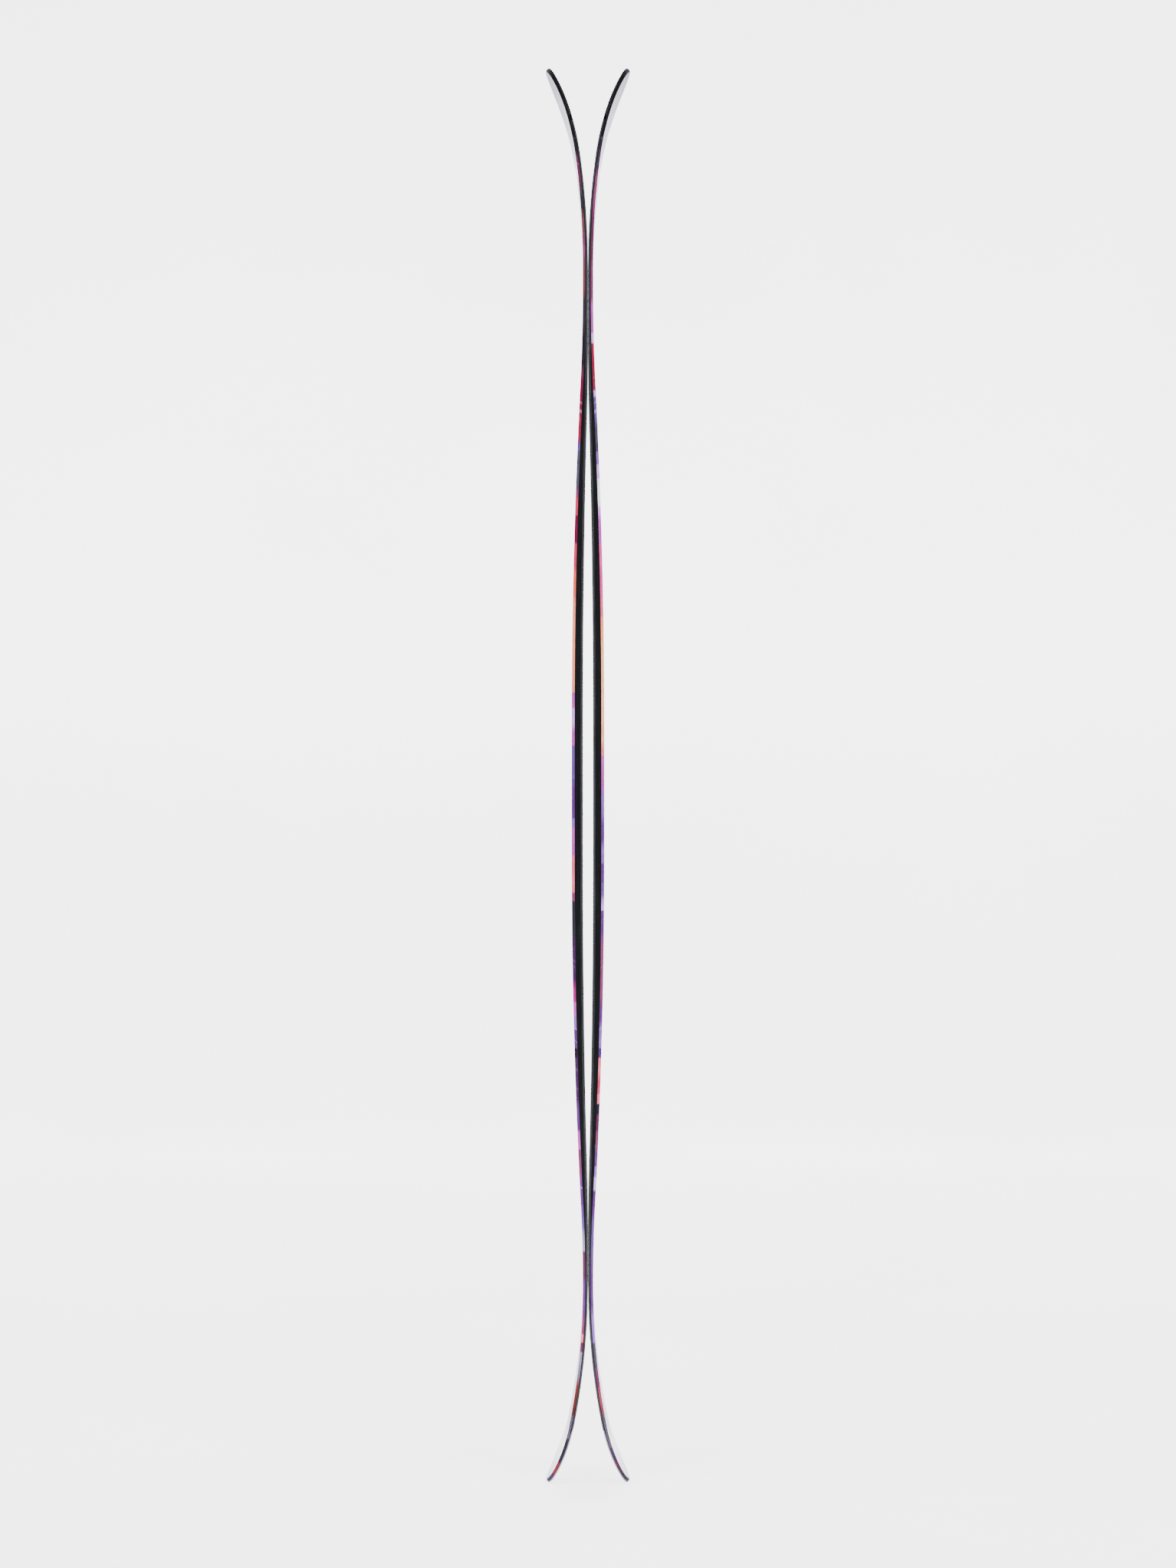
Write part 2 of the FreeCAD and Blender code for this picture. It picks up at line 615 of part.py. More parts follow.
class Ski:
    """The layers of one ski, each made from the working solids; self.pieces maps name to object."""

    def __init__(self, doc, forms):
        self.doc = doc
        self.forms = forms
        self.pieces = {}

    def form(self, *names):
        return [self.forms[name] for name in names]

    def cut_common(self, name, shared, removed):
        """What the shared shapes have in common, less the removed shapes."""
        body = common(self.doc, f"{name}_blank", *shared) if len(shared) > 1 else shared[0]
        tool = fuse(self.doc, f"{name}_waste", *removed) if len(removed) > 1 else removed[0]
        return cut(self.doc, name, body, tool)

    def edge_zone(self, side):
        name = f"edge_zone_{side}"
        return zone(self.doc, name, sized("edge_rear_end"), sized("edge_front_end"), SIDES[side])

    def steel_edges(self):
        """Hardened rails: a square head at the rim and a thin flange reaching under the plies."""
        beside_base = common(self.doc, "beside_base", *self.form("inside_edge", "to_base"))
        for side in SIDES:
            name = f"{side}_edge"
            shared = self.form("to_head", "outline") + [self.edge_zone(side)]
            self.pieces[name] = self.cut_common(name, shared, [beside_base, self.forms["inside_wall"]])

    def rails(self):
        return [self.pieces[f"{side}_edge"] for side in SIDES]

    def running_base(self):
        """Sintered sole, let in between the edges and full width beyond their ends."""
        shared = self.form("to_base", "outline")
        self.pieces["running_base"] = self.cut_common("running_base", shared, self.rails())

    def damping_strips(self):
        """Rubber foil between each edge and the lower ply."""
        for side in SIDES:
            name = f"{side}_damping_strip"
            shared = self.form("to_damping", "outline") + [self.edge_zone(side)]
            self.pieces[name] = self.cut_common(name, shared, self.form("to_head", "inside_wall"))

    def plies(self):
        """Glass: a filler between the edges, the lower ply over it and the upper ply on the core."""
        shared = self.form("to_damping", "below_upper_ply")
        level = self.cut_common("filler_level", shared, self.form("to_base"))
        edge_stretch = zone(self.doc, "edge_stretch", sized("edge_rear_end"), sized("edge_front_end"))
        beside_filler = cut(self.doc, "beside_filler", edge_stretch, self.forms["inside_wall"])
        self.pieces["filler_ply"] = cut(self.doc, "filler_ply", level, beside_filler)
        shared = self.form("to_lower_ply", "below_upper_ply")
        self.pieces["lower_ply"] = self.cut_common("lower_ply", shared, self.form("to_damping"))
        self.pieces["upper_ply"] = self.cut_common(
            "upper_ply", self.form("below_topsheet"), self.form("below_upper_ply")
        )

    def topsheet(self):
        """Printed skin of the deck, rolled down over the shoulder."""
        self.pieces["topsheet"] = self.cut_common(
            "topsheet", self.form("outer"), self.form("below_topsheet")
        )

    def core_layer(self):
        """Everything between the lower and upper plies: sidewalls, spacers, plate and wood."""
        doc = self.doc
        rear, front = sized("core_rear_end"), sized("core_front_end")
        layer = cut(doc, "core_layer", *self.form("below_upper_ply", "to_lower_ply"))
        for side in SIDES:
            name = f"{side}_sidewall"
            half = zone(doc, f"{side}_wall_zone", rear, front, SIDES[side])
            self.pieces[name] = self.cut_common(name, [layer, half], self.form("inside_wall"))
        beyond_tip = zone(doc, "tip_zone", front, sized("form_reach"))
        beyond_tail = zone(doc, "tail_zone", f"-{sized('form_width')}", rear)
        self.pieces["tip_spacer"] = common(doc, "tip_spacer", layer, beyond_tip)
        self.pieces["tail_spacer"] = common(doc, "tail_spacer", layer, beyond_tail)

        middle, reach = sized("waist_station"), f"{sized('plate_length')} / 2"
        plate_zone = zone(doc, "plate_zone", f"{middle} - {reach}", f"{middle} + {reach}")
        bounds = common(doc, "plate_bounds", plate_zone, *self.form("plate_skin", "inside_wall"))
        plate = common(doc, "mounting_plate", layer, bounds)
        self.pieces["mounting_plate"] = plate
        wood_zone = zone(doc, "wood_zone", rear, front)
        wood = self.cut_common("wood", [layer, wood_zone, self.forms["inside_wall"]], [plate])
        strips = fuse(doc, "ash_strips", *[self.strip_zone(place) for place in (-1.5, -0.5, 0.5, 1.5)])
        self.pieces["ash_stringers"] = common(doc, "ash_stringers", wood, strips)
        self.pieces["poplar_core"] = cut(doc, "poplar_core", wood, strips)

    def strip_zone(self, place):
        """Box that one ash stringer is cut from, place pitches away from the middle of the ski."""
        name = f"strip_zone_{place}".replace("-", "minus_").replace(".", "_")
        low = f"{place} * {sized('ash_strip_pitch')} - {sized('ash_strip_width')} / 2"
        high = f"{place} * {sized('ash_strip_pitch')} + {sized('ash_strip_width')} / 2"
        ends = sized("core_rear_end"), sized("core_front_end")
        return zone(self.doc, name, *ends, low=low, high=high)

    def build(self):
        self.steel_edges()
        self.running_base()
        self.damping_strips()
        self.plies()
        self.topsheet()
        self.core_layer()
        self.doc.recompute()
        return self.pieces


def other_ski(doc, pieces):
    """The left ski: every piece turned half a turn about Z, which swaps inner and outer."""
    turned = {}
    half_turn = FreeCAD.Placement(V(0, 0, 0), FreeCAD.Rotation(V(0, 0, 1), 180.0))
    for name, source in pieces.items():
        if name.startswith("inner"):
            new_name = name.replace("inner", "outer")
        else:
            new_name = name.replace("outer", "inner")
        copy = doc.addObject("Part::Compound", f"left_{new_name}")
        copy.Links = [source]
        copy.Placement = half_turn
        turned[new_name] = copy
    return turned


def check_fill(form, pieces):
    """Stop unless the pieces fill the form of one ski, with nothing doubled and nothing missing."""
    whole = form.Shape.Volume
    total = sum(item.Shape.Volume for item in pieces.values())
    print(f"form {whole / 1000:.1f} cm3, pieces {total / 1000:.1f} cm3")
    if abs(total - whole) > 0.001 * whole:
        raise SystemExit("the pieces of a ski don't fill its form")


def check(doc, nodes):
    """Stop on any object that failed and on any piece that isn't a valid solid."""
    for item in doc.Objects:
        if "Invalid" in item.State or "Error" in item.State:
            raise SystemExit(f"{item.Name} is {item.State}")
    for name, item in nodes.items():
        shape = item.Shape
        if shape.isNull() or not shape.isValid() or not shape.Solids:
            raise SystemExit(f"{name} has no valid solid")


def main():
    doc = FreeCAD.newDocument("skis")
    make_sheet(doc)
    forms = build_forms(doc)
    right = Ski(doc, forms).build()
    check_fill(forms["outer"], right)
    left = other_ski(doc, right)
    doc.recompute()
    nodes = {f"right_{name}": item for name, item in right.items()}
    nodes.update({f"left_{name}": item for name, item in left.items()})
    for name, item in nodes.items():
        item.Label = name
    check(doc, nodes)
    os.makedirs("parts", exist_ok=True)
    for name, item in nodes.items():
        item.Shape.exportStep(os.path.join("parts", f"{name}.step"))
        print(f"{name}: {len(item.Shape.Solids)} solids, {item.Shape.Volume / 1000:.1f} cm3")


main()
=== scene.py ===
"""Looks of a pair of twin-tip alpine skis that stand base to base on their tails.

Every layer whose rim shows is rebuilt as a dense closed mesh from the same formulas as the
CAD source, and stands for its CAD node.  The wood core and the plate inside keep their CAD
meshes.  Both skis are worked out as the right one, in millimetres, with its base towards
X = 0; the left ski is then turned half a turn about Z.  The camera looks along +Y.
"""

import math
from functools import lru_cache

import bmesh
import bpy
import numpy as np
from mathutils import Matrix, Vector


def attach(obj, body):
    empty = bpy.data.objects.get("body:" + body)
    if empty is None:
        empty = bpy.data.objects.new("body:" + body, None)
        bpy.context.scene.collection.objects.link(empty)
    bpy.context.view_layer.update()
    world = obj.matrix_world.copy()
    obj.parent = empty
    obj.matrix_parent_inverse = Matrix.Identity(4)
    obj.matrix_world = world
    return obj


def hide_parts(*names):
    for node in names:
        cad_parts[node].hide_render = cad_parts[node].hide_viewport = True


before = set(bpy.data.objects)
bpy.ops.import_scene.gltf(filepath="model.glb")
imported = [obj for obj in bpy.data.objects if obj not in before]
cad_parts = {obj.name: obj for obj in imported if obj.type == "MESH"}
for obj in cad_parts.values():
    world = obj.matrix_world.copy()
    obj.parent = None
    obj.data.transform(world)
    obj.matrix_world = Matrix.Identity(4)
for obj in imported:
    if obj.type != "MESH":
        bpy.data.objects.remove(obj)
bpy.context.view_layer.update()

# ---------------------------------------------------------------- sizes in millimetres

WAIST_STATION = 870.0
WAIST_FLAT = 160.0
HALF_GAP = 0.15
CAMBER = 6.4
CAMBER_RUN = 475.0
CAMBER_RADIUS = 15000.0
WAIST_THICKNESS = 13.8
CONTACT_THICKNESS = 6.3
CROWN_RADIUS = 8300.0
WAIST_WIDTH = 100.0
WAIST_NARROWEST = 840.0
SIDECUT_RADIUS = 19000.0

# Ends of the ski: contact zone, rocker, upturn, crown of the deck and the nose seen flat.
# Angles are in degrees.
TIP = {
    "contact": 100.0, "rocker_radius": 980.0, "rocker_turn": 8.0, "upturn_radius": 340.163,
    "angle": 29.2, "crown_run": 547.0, "thin_start": 2.4,
    "width": 130.0, "widest": 1650.0, "nose_radius": 62.0, "shoulder_radius": 90.0,
}
TAIL = {
    "contact": 60.0, "rocker_radius": 890.0, "rocker_turn": 11.0, "upturn_radius": 262.715,
    "angle": 31.0, "crown_run": 530.0, "thin_start": 2.8,
    "width": 122.0, "widest": 105.0, "nose_radius": 58.0, "shoulder_radius": 110.0,
}

SIDE_LINE_OVERRUN = 2.5  # degrees that the side lines turn on past each apex

BASE_THICKNESS = 1.4
EDGE_WIDTH = 2.2
EDGE_HEIGHT = 2.0
DAMPING_TOP = 2.4
LOWER_PLY_TOP = 3.0
WALL_WIDTH = 8.0
TOPSHEET = 0.5
UPPER_PLY = 0.4
SHOULDER_AT_NOSE = 2.2
SHOULDER_AT_WAIST = 2.9
SHOULDER_SWELL_REACH = 620.0
EDGE_ENDS = (75.0, 1710.0)
CORE_ENDS = (150.0, 1600.0)
SPOON_DEPTH = 4.5
SPOON_LENGTH = 45.0
SOLE_CROWN = 0.13

SIDECUT_STEP = 6.0
NOSE_STEP = 2.5
NOSE_TURN_STEP = 2.5  # degrees
SOLE_COLUMNS = 21
SHEET_COLUMNS = 33
MATTE_NOSE_START = 1.66  # metres above the tail


# ---------------------------------------------------------------- side view


def foot_radius(run, drop, crown):
    """Radius of the arc that brings an arc of radius crown back level after run and drop."""
    return (run * run + drop * drop) / (2 * drop) - crown


def walk(start, steps):
    """Nodes (along, rise, heading) of a tangent chain; steps are (length, radius, turn)."""
    nodes = [start]
    for length, radius, turn in steps:
        along, rise, heading = nodes[-1]
        if turn == 0:
            nodes.append((along + length, rise, heading))
            continue
        after = heading + turn
        side = math.copysign(radius, turn)
        along += side * (math.sin(after) - math.sin(heading))
        rise -= side * (math.cos(after) - math.cos(heading))
        nodes.append((along, rise, after))
    return nodes


def half_nodes(level, low, crown, run, flat, end, inside):
    """One half of a side line, from the middle outwards; inside shortens the end's radii."""
    foot = foot_radius(run, level - low, crown)
    turn = math.asin(run / (crown + foot))
    first = math.radians(end["rocker_turn"])
    second = math.radians(end["angle"] + SIDE_LINE_OVERRUN) - first
    return walk((0.0, level, 0.0), [
        (WAIST_FLAT / 2, None, 0),
        (None, crown, -turn),
        (None, foot, turn),
        (flat, None, 0),
        (None, end["rocker_radius"] - inside, first),
        (None, end["upturn_radius"] - inside, second),
    ])[1:]


class SideLine:
    """A tangent chain of lines and arcs from beyond the tail to beyond the tip."""

    def __init__(self, nodes):
        self.nodes = nodes

    @classmethod
    def of_halves(cls, tail_half, tip_half):
        nodes = [(WAIST_STATION - z, x, -turn) for z, x, turn in reversed(tail_half)]
        return cls(nodes + [(WAIST_STATION + z, x, turn) for z, x, turn in tip_half])

    def offset(self, height):
        """The line that runs height away from this one, towards the deck."""
        return SideLine([
            (z - height * math.sin(turn), x + height * math.cos(turn), turn)
            for z, x, turn in self.nodes
        ])

    def rise(self, z):
        """The line's x at a station z."""
        place = 0
        while place < len(self.nodes) - 2 and self.nodes[place + 1][0] < z:
            place += 1
        z0, x0, heading = self.nodes[place]
        z1, x1, after = self.nodes[place + 1]
        turn = after - heading
        if abs(turn) < 1e-9:
            return x0 + (z - z0) * math.tan(heading)
        radius = math.hypot(z1 - z0, x1 - x0) / (2 * math.sin(turn / 2))
        centre_z = z0 - radius * math.sin(heading)
        centre_x = x0 + radius * math.cos(heading)
        return centre_x - math.copysign(math.sqrt(radius**2 - (z - centre_z) ** 2), radius)


def running_half(end):
    level = HALF_GAP + CAMBER
    return half_nodes(level, HALF_GAP, CAMBER_RADIUS, CAMBER_RUN, end["contact"], end, 0.0)


def deck_half(end):
    level = HALF_GAP + CAMBER + WAIST_THICKNESS
    low = HALF_GAP + CONTACT_THICKNESS
    flat = CAMBER_RUN + end["contact"] + end["thin_start"] - end["crown_run"]
    return half_nodes(level, low, CROWN_RADIUS, end["crown_run"], flat, end, CONTACT_THICKNESS)


RUNNING = SideLine.of_halves(running_half(TAIL), running_half(TIP))
DECK = SideLine.of_halves(deck_half(TAIL), deck_half(TIP))


@lru_cache(maxsize=None)
def above_base(height):
    return RUNNING.offset(height)


@lru_cache(maxsize=None)
def below_deck(depth):
    return DECK.offset(-depth)


# ---------------------------------------------------------------- outline and rows across the ski


class Row:
    """One cut across the ski.

    place and across are the outline's point in the plane that the outline is drawn in, and
    normal is the outline's outward direction there.  origin, ahead and through give that
    plane in the side view, as (z, x).  nose_distance is how far behind its apex the cut is.
    """

    def __init__(self, place, across, normal, origin, ahead, through, nose_distance):
        self.place = place
        self.across = across
        self.normal = normal
        self.origin = origin
        self.ahead = ahead
        self.through = through
        self.nose_distance = nose_distance

    def at(self, inset, line):
        """The point (x, y, z) where the outline moved inwards by inset meets a side line."""
        place = self.place - inset * self.normal[0]
        base_z = self.origin[0] + place * self.ahead[0]
        base_x = self.origin[1] + place * self.ahead[1]
        reach = 0.0
        for _ in range(14):
            reach = (line.rise(base_z + reach * self.through[0]) - base_x) / self.through[1]
        across = self.across - inset * self.normal[1]
        return base_x + reach * self.through[1], max(across, 0.0), base_z + reach * self.through[0]


def apex(end, half):
    """The nose's apex and the side-view directions of the plane that its outline lies in."""
    out, rise, _ = half[-1]
    beyond = math.radians(SIDE_LINE_OVERRUN)
    heading = math.radians(end["angle"])
    radius = end["upturn_radius"]
    out -= radius * (math.sin(heading + beyond) - math.sin(heading))
    rise += radius * (math.cos(heading + beyond) - math.cos(heading))
    return out, rise, heading


def nose_rows(end, half, way):
    """Rows of one nose from its apex inwards; way is 1 for the tip and -1 for the tail."""
    out, rise, heading = apex(end, half)
    origin = (WAIST_STATION + way * out, rise)
    ahead = (way * math.cos(heading), math.sin(heading))
    through = (-way * math.sin(heading), math.cos(heading))
    nose = end["nose_radius"]
    shoulder = end["shoulder_radius"]
    turn = math.acos((shoulder - end["width"] / 2) / (shoulder - nose))
    start = -nose - (shoulder - nose) * math.sin(turn)
    rows = []

    def add(centre_place, centre_across, radius, angle):
        """angle is measured from straight ahead."""
        normal = (math.cos(angle), math.sin(angle))
        place = centre_place + radius * normal[0]
        across = centre_across + radius * normal[1]
        rows.append(Row(place, across, normal, origin, ahead, through, -place))

    full = math.pi / 2 - turn
    steps = math.ceil(math.degrees(full) / NOSE_TURN_STEP)
    for step in range(steps):
        add(-nose, 0.0, nose, full * step / steps)
    steps = math.ceil(shoulder * turn / NOSE_STEP)
    for step in range(steps + 1):
        add(start, end["width"] / 2 - shoulder, shoulder, full + turn * step / steps)
    return rows


def half_width(z):
    """Half the sidecut's width and its slope at a station between the widest points."""
    end, run = (TIP, z - WAIST_NARROWEST) if z > WAIST_NARROWEST else (TAIL, WAIST_NARROWEST - z)
    whole = abs(end["widest"] - WAIST_NARROWEST)
    flare = (end["width"] - WAIST_WIDTH) / 2
    roll = foot_radius(whole, flare, SIDECUT_RADIUS)
    turn = math.asin(whole / (SIDECUT_RADIUS + roll))
    way = 1 if z > WAIST_NARROWEST else -1
    if run < SIDECUT_RADIUS * math.sin(turn):
        drop = math.sqrt(SIDECUT_RADIUS**2 - run**2)
        return WAIST_WIDTH / 2 + SIDECUT_RADIUS - drop, way * run / drop
    left = whole - run
    drop = math.sqrt(roll**2 - left**2)
    return end["width"] / 2 - roll + drop, way * left / drop


def sidecut_rows(low, high):
    """Level rows along the sidecut, between the two widest points."""
    steps = math.ceil((high - low) / SIDECUT_STEP)
    rows = []
    for step in range(steps + 1):
        z = low + (high - low) * step / steps
        across, slope = half_width(z)
        long = math.hypot(1, slope)
        normal = (-slope / long, 1 / long)
        rows.append(Row(z, across, normal, (0.0, 0.0), (1.0, 0.0), (0.0, 1.0), 1000.0))
    return rows


def leaning_rows(end, way, nose_row):
    """Rows of full width between the widest point and the nose, leaning more and more."""
    heading = math.radians(end["angle"])
    first = end["widest"]
    last = nose_row.at(0.0, RUNNING)[2]
    steps = math.ceil(abs(last - first) / SIDECUT_STEP)
    rows = []
    for step in range(1, steps):
        share = step / steps
        z = first + (last - first) * share
        lean = heading * share
        ahead = (way * math.cos(lean), math.sin(lean))
        through = (-way * math.sin(lean), math.cos(lean))
        origin = (z, RUNNING.rise(z))
        behind = nose_row.nose_distance + abs(last - z)
        rows.append(Row(0.0, end["width"] / 2, (0.0, 1.0), origin, ahead, through, behind))
    return rows


def all_rows():
    """Every row of the ski, from the tail's apex to the tip's."""
    tail = nose_rows(TAIL, running_half(TAIL), -1)
    tip = nose_rows(TIP, running_half(TIP), 1)
    rear = leaning_rows(TAIL, -1, tail[-1])
    front = leaning_rows(TIP, 1, tip[-1])
    middle = sidecut_rows(TAIL["widest"], TIP["widest"])
    return tail + rear[::-1] + middle + front + tip[::-1]


ROWS = all_rows()


def rows_between(low, high):
    """Rows whose lowest rim point lies between two stations."""
    return [row for row in ROWS if low <= row.at(0.0, RUNNING)[2] <= high]


def edged(row):
    """True where the steel edges run beside the base."""
    return EDGE_ENDS[0] <= row.at(0.0, RUNNING)[2] <= EDGE_ENDS[1]


def shoulder_size(row):
    """The bevelled shoulder is wider underfoot, where the ski is thick."""
    _, _, z = row.at(0.0, RUNNING)
    away = min(abs(z - WAIST_STATION) / SHOULDER_SWELL_REACH, 1.0)
    swell = (1 - away**2) ** 2
    return SHOULDER_AT_NOSE + (SHOULDER_AT_WAIST - SHOULDER_AT_NOSE) * swell


# ---------------------------------------------------------------- meshes


def spread(count):
    """Values from -1 to 1, closer together near both ends."""
    return [math.sin(math.pi / 2 * (2 * step / (count - 1) - 1)) for step in range(count)]


def plate_loop(row, rim, columns, bulge=0.0):
    """Closed loop round a layer: underside, one rim, upper side, other rim.

    rim lists points (x, y, z) at +Y from the underside to the upper side.  bulge moves the
    middle of the underside away from the deck.
    """
    low, high = rim[0], rim[-1]
    loop = []
    for share in spread(columns):
        push = bulge * (1 - share * share)
        x = low[0] - push * row.through[1]
        z = low[2] - push * row.through[0]
        loop.append((x, share * low[1], z))
    loop += rim[1:-1]
    loop += [(high[0], -share * high[1], high[2]) for share in spread(columns)]
    loop += [(x, -y, z) for x, y, z in reversed(rim[1:-1])]
    return loop


def tube(name, loops, side, closed_ends, painted=()):
    """Mesh object through a list of loops with equal counts; side is 1 right and -1 left.

    Faces that leave the points numbered in painted get the second material.
    """
    points = np.array(loops, float)
    rings, count = points.shape[:2]
    points = points.reshape(-1, 3) * 0.001
    points[:, :2] *= side
    faces = []
    paint = []
    for ring in range(rings - 1):
        first, second = ring * count, (ring + 1) * count
        for spot in range(count):
            following = (spot + 1) % count
            faces.append((first + spot, first + following, second + following, second + spot))
            paint.append(int(spot in painted))
    if not closed_ends:
        faces.append(tuple(range(count)))
        faces.append(tuple((rings - 1) * count + spot for spot in range(count)))
    mesh = bpy.data.meshes.new(name)
    mesh.from_pydata([tuple(point) for point in points], [], faces)
    for face, number in zip(mesh.polygons, paint):
        face.material_index = number
    work = bmesh.new()
    work.from_mesh(mesh)
    bmesh.ops.remove_doubles(work, verts=work.verts, dist=2e-6)
    bmesh.ops.dissolve_degenerate(work, edges=work.edges, dist=1e-7)
    bmesh.ops.recalc_face_normals(work, faces=work.faces)
    work.to_mesh(mesh)
    work.free()
    mesh.shade_smooth()
    mesh.set_sharp_from_angle(angle=math.radians(32))
    piece = bpy.data.objects.new(name, mesh)
    bpy.context.scene.collection.objects.link(piece)
    return piece


def rounded(points, radius):
    """Profile with each inner corner cut by a small two-point round; points are (inset, height)."""
    result = [points[0]]
    for before, corner, after in zip(points, points[1:], points[2:]):
        for neighbour in (before, after):
            away = math.dist(corner, neighbour)
            share = min(radius / away, 0.45)
            result.append(tuple(c + (n - c) * share for c, n in zip(corner, neighbour)))
    result.append(points[-1])
    return result


def base_rim(row):
    """The sole's rim, which stops at the edges' heads where there are edges."""
    inset = EDGE_WIDTH if edged(row) else 0.0
    profile = rounded([
        (inset + 1.0, 0.0), (inset, 0.0), (inset, BASE_THICKNESS), (inset + 1.0, BASE_THICKNESS),
    ], 0.18)
    return [row.at(from_rim, above_base(height)) for from_rim, height in profile]


def running_base(side_name, side):
    """Sintered sole, a hair crowned across its width and bulging like a spoon at each nose."""
    loops = []
    for row in ROWS:
        left = max(1 - row.nose_distance / SPOON_LENGTH, 0.0)
        fullness = math.sqrt(2 * row.across / TIP["width"])
        bulge = SOLE_CROWN + SPOON_DEPTH * left * left * (3 - 2 * left) * fullness
        loops.append(plate_loop(row, base_rim(row), SOLE_COLUMNS, bulge))
    return tube(f"{side_name}_sole", loops, side, True)


def strip(name, side, way, rows, profile):
    """Long thin piece along one rim; profile(row) lists (inset, side line) round its section."""
    loops = []
    for row in rows:
        points = [row.at(inset, line) for inset, line in profile(row)]
        loops.append([(x, way * y, z) for x, y, z in points])
    return tube(name, loops, side, False)


def edge_profile(row):
    """Head with softened corners and a flange let in under the plies."""
    corners = [
        (0.28, 0.0), (EDGE_WIDTH, 0.0), (EDGE_WIDTH, BASE_THICKNESS), (WALL_WIDTH, BASE_THICKNESS),
        (WALL_WIDTH, EDGE_HEIGHT), (0.12, EDGE_HEIGHT), (0.0, EDGE_HEIGHT - 0.12), (0.0, 0.28),
        (0.08, 0.1),
    ]
    return [(inset, above_base(height)) for inset, height in corners]


def damping_profile(row):
    """Flat foil that lies on the edge's flange."""
    corners = [
        (0.05, EDGE_HEIGHT), (WALL_WIDTH, EDGE_HEIGHT), (WALL_WIDTH, DAMPING_TOP),
        (0.05, DAMPING_TOP),
    ]
    return [(inset, above_base(height)) for inset, height in corners]


def depths(row):
    """Depths below the deck of the lower rim of the topsheet and of the upper ply.

    A layer of a given thickness reaches sqrt(2) times as far down under a 45 degree bevel.
    """
    sheet_end = shoulder_size(row) + math.sqrt(2) * TOPSHEET
    ply_end = shoulder_size(row) + math.sqrt(2) * (TOPSHEET + UPPER_PLY)
    return sheet_end, ply_end


def wall_profile(row):
    """Sidewall: a plain outer face with softened corners, under the bevelled shoulder."""
    _, top = depths(row)
    inner_top = below_deck(TOPSHEET + UPPER_PLY)
    knee = min(top - TOPSHEET - UPPER_PLY, WALL_WIDTH - 0.1)
    return [
        (0.15, above_base(LOWER_PLY_TOP)), (WALL_WIDTH, above_base(LOWER_PLY_TOP)),
        (WALL_WIDTH, inner_top), (knee, inner_top),
        (0.12, below_deck(top - 0.02)), (0.02, below_deck(top + 0.12)),
        (0.0, above_base(LOWER_PLY_TOP + 0.15)),
    ]


def layer(name, side, rows, rim, columns=9):
    """Full-width layer; rim(row) lists (inset, side line) from its underside to its upper side."""
    loops = []
    for row in rows:
        points = [row.at(inset, line) for inset, line in rim(row)]
        loops.append(plate_loop(row, points, columns))
    closed = rows[0] is ROWS[0] and rows[-1] is ROWS[-1]
    return tube(name, loops, side, closed)


def filler_rim(row):
    """Between the edges, and out to the rim beyond their ends."""
    inset = WALL_WIDTH if edged(row) else 0.04
    return [(inset, above_base(BASE_THICKNESS)), (inset, above_base(DAMPING_TOP))]


def lower_ply_rim(row):
    return [(0.04, above_base(DAMPING_TOP)), (0.04, above_base(LOWER_PLY_TOP))]


def spacer_rim(row):
    """Between the lower and the upper ply, with its upper corner bevelled away."""
    _, top = depths(row)
    knee = top - TOPSHEET - UPPER_PLY
    return [
        (0.04, above_base(LOWER_PLY_TOP)), (0.04, below_deck(top)),
        (knee, below_deck(TOPSHEET + UPPER_PLY)),
    ]


def upper_ply_rim(row):
    """Thin ply under the topsheet, down over the bevel to the rim."""
    sheet_end, ply_end = depths(row)
    return [
        (ply_end - TOPSHEET - UPPER_PLY, below_deck(TOPSHEET + UPPER_PLY)),
        (0.04, below_deck(ply_end)), (0.04, below_deck(sheet_end)),
        (sheet_end - TOPSHEET, below_deck(TOPSHEET)),
    ]


def topsheet_rim(row):
    """Cut edge, bevelled shoulder and deck, with soft corners."""
    size = shoulder_size(row)
    sheet_end, _ = depths(row)
    return [
        (sheet_end - TOPSHEET, below_deck(TOPSHEET)),
        (0.0, below_deck(sheet_end)),
        (0.0, below_deck(size + 0.32)),
        (0.07, below_deck(size + 0.02)),
        (0.3, below_deck(size - 0.3)),
        (size / 2 - 0.02, below_deck(size / 2 - 0.02)),
        (size - 0.35, below_deck(0.38)),
        (size - 0.02, below_deck(0.12)),
        (size + 0.35, below_deck(0.02)),
        (size + 0.9, below_deck(0.0)),
    ]


def topsheet(side_name, side):
    """Printed skin; shoulder and cut edge take the second material, the tip's nose the third."""
    rims = [[row.at(inset, line) for inset, line in topsheet_rim(row)] for row in ROWS]
    loops = [plate_loop(row, rim, SHEET_COLUMNS) for row, rim in zip(ROWS, rims)]
    bends = len(rims[0]) - 1
    near_rim = SHEET_COLUMNS - 1
    far_rim = near_rim + bends + SHEET_COLUMNS - 1
    painted = {*range(near_rim, near_rim + bends), *range(far_rim, far_rim + bends)}
    skin = tube(f"{side_name}_topsheet_skin", loops, side, True, painted)
    for face in skin.data.polygons:
        if face.material_index == 0 and face.center.z > MATTE_NOSE_START:
            face.material_index = 2
    return skin


# ---------------------------------------------------------------- materials: helpers


def linear(hex_colour):
    """Linear colour with alpha from a six-digit display colour."""
    colour = []
    for spot in (1, 3, 5):
        shown = int(hex_colour[spot:spot + 2], 16) / 255
        colour.append(shown / 12.92 if shown <= 0.04045 else ((shown + 0.055) / 1.055) ** 2.4)
    return (*colour, 1.0)


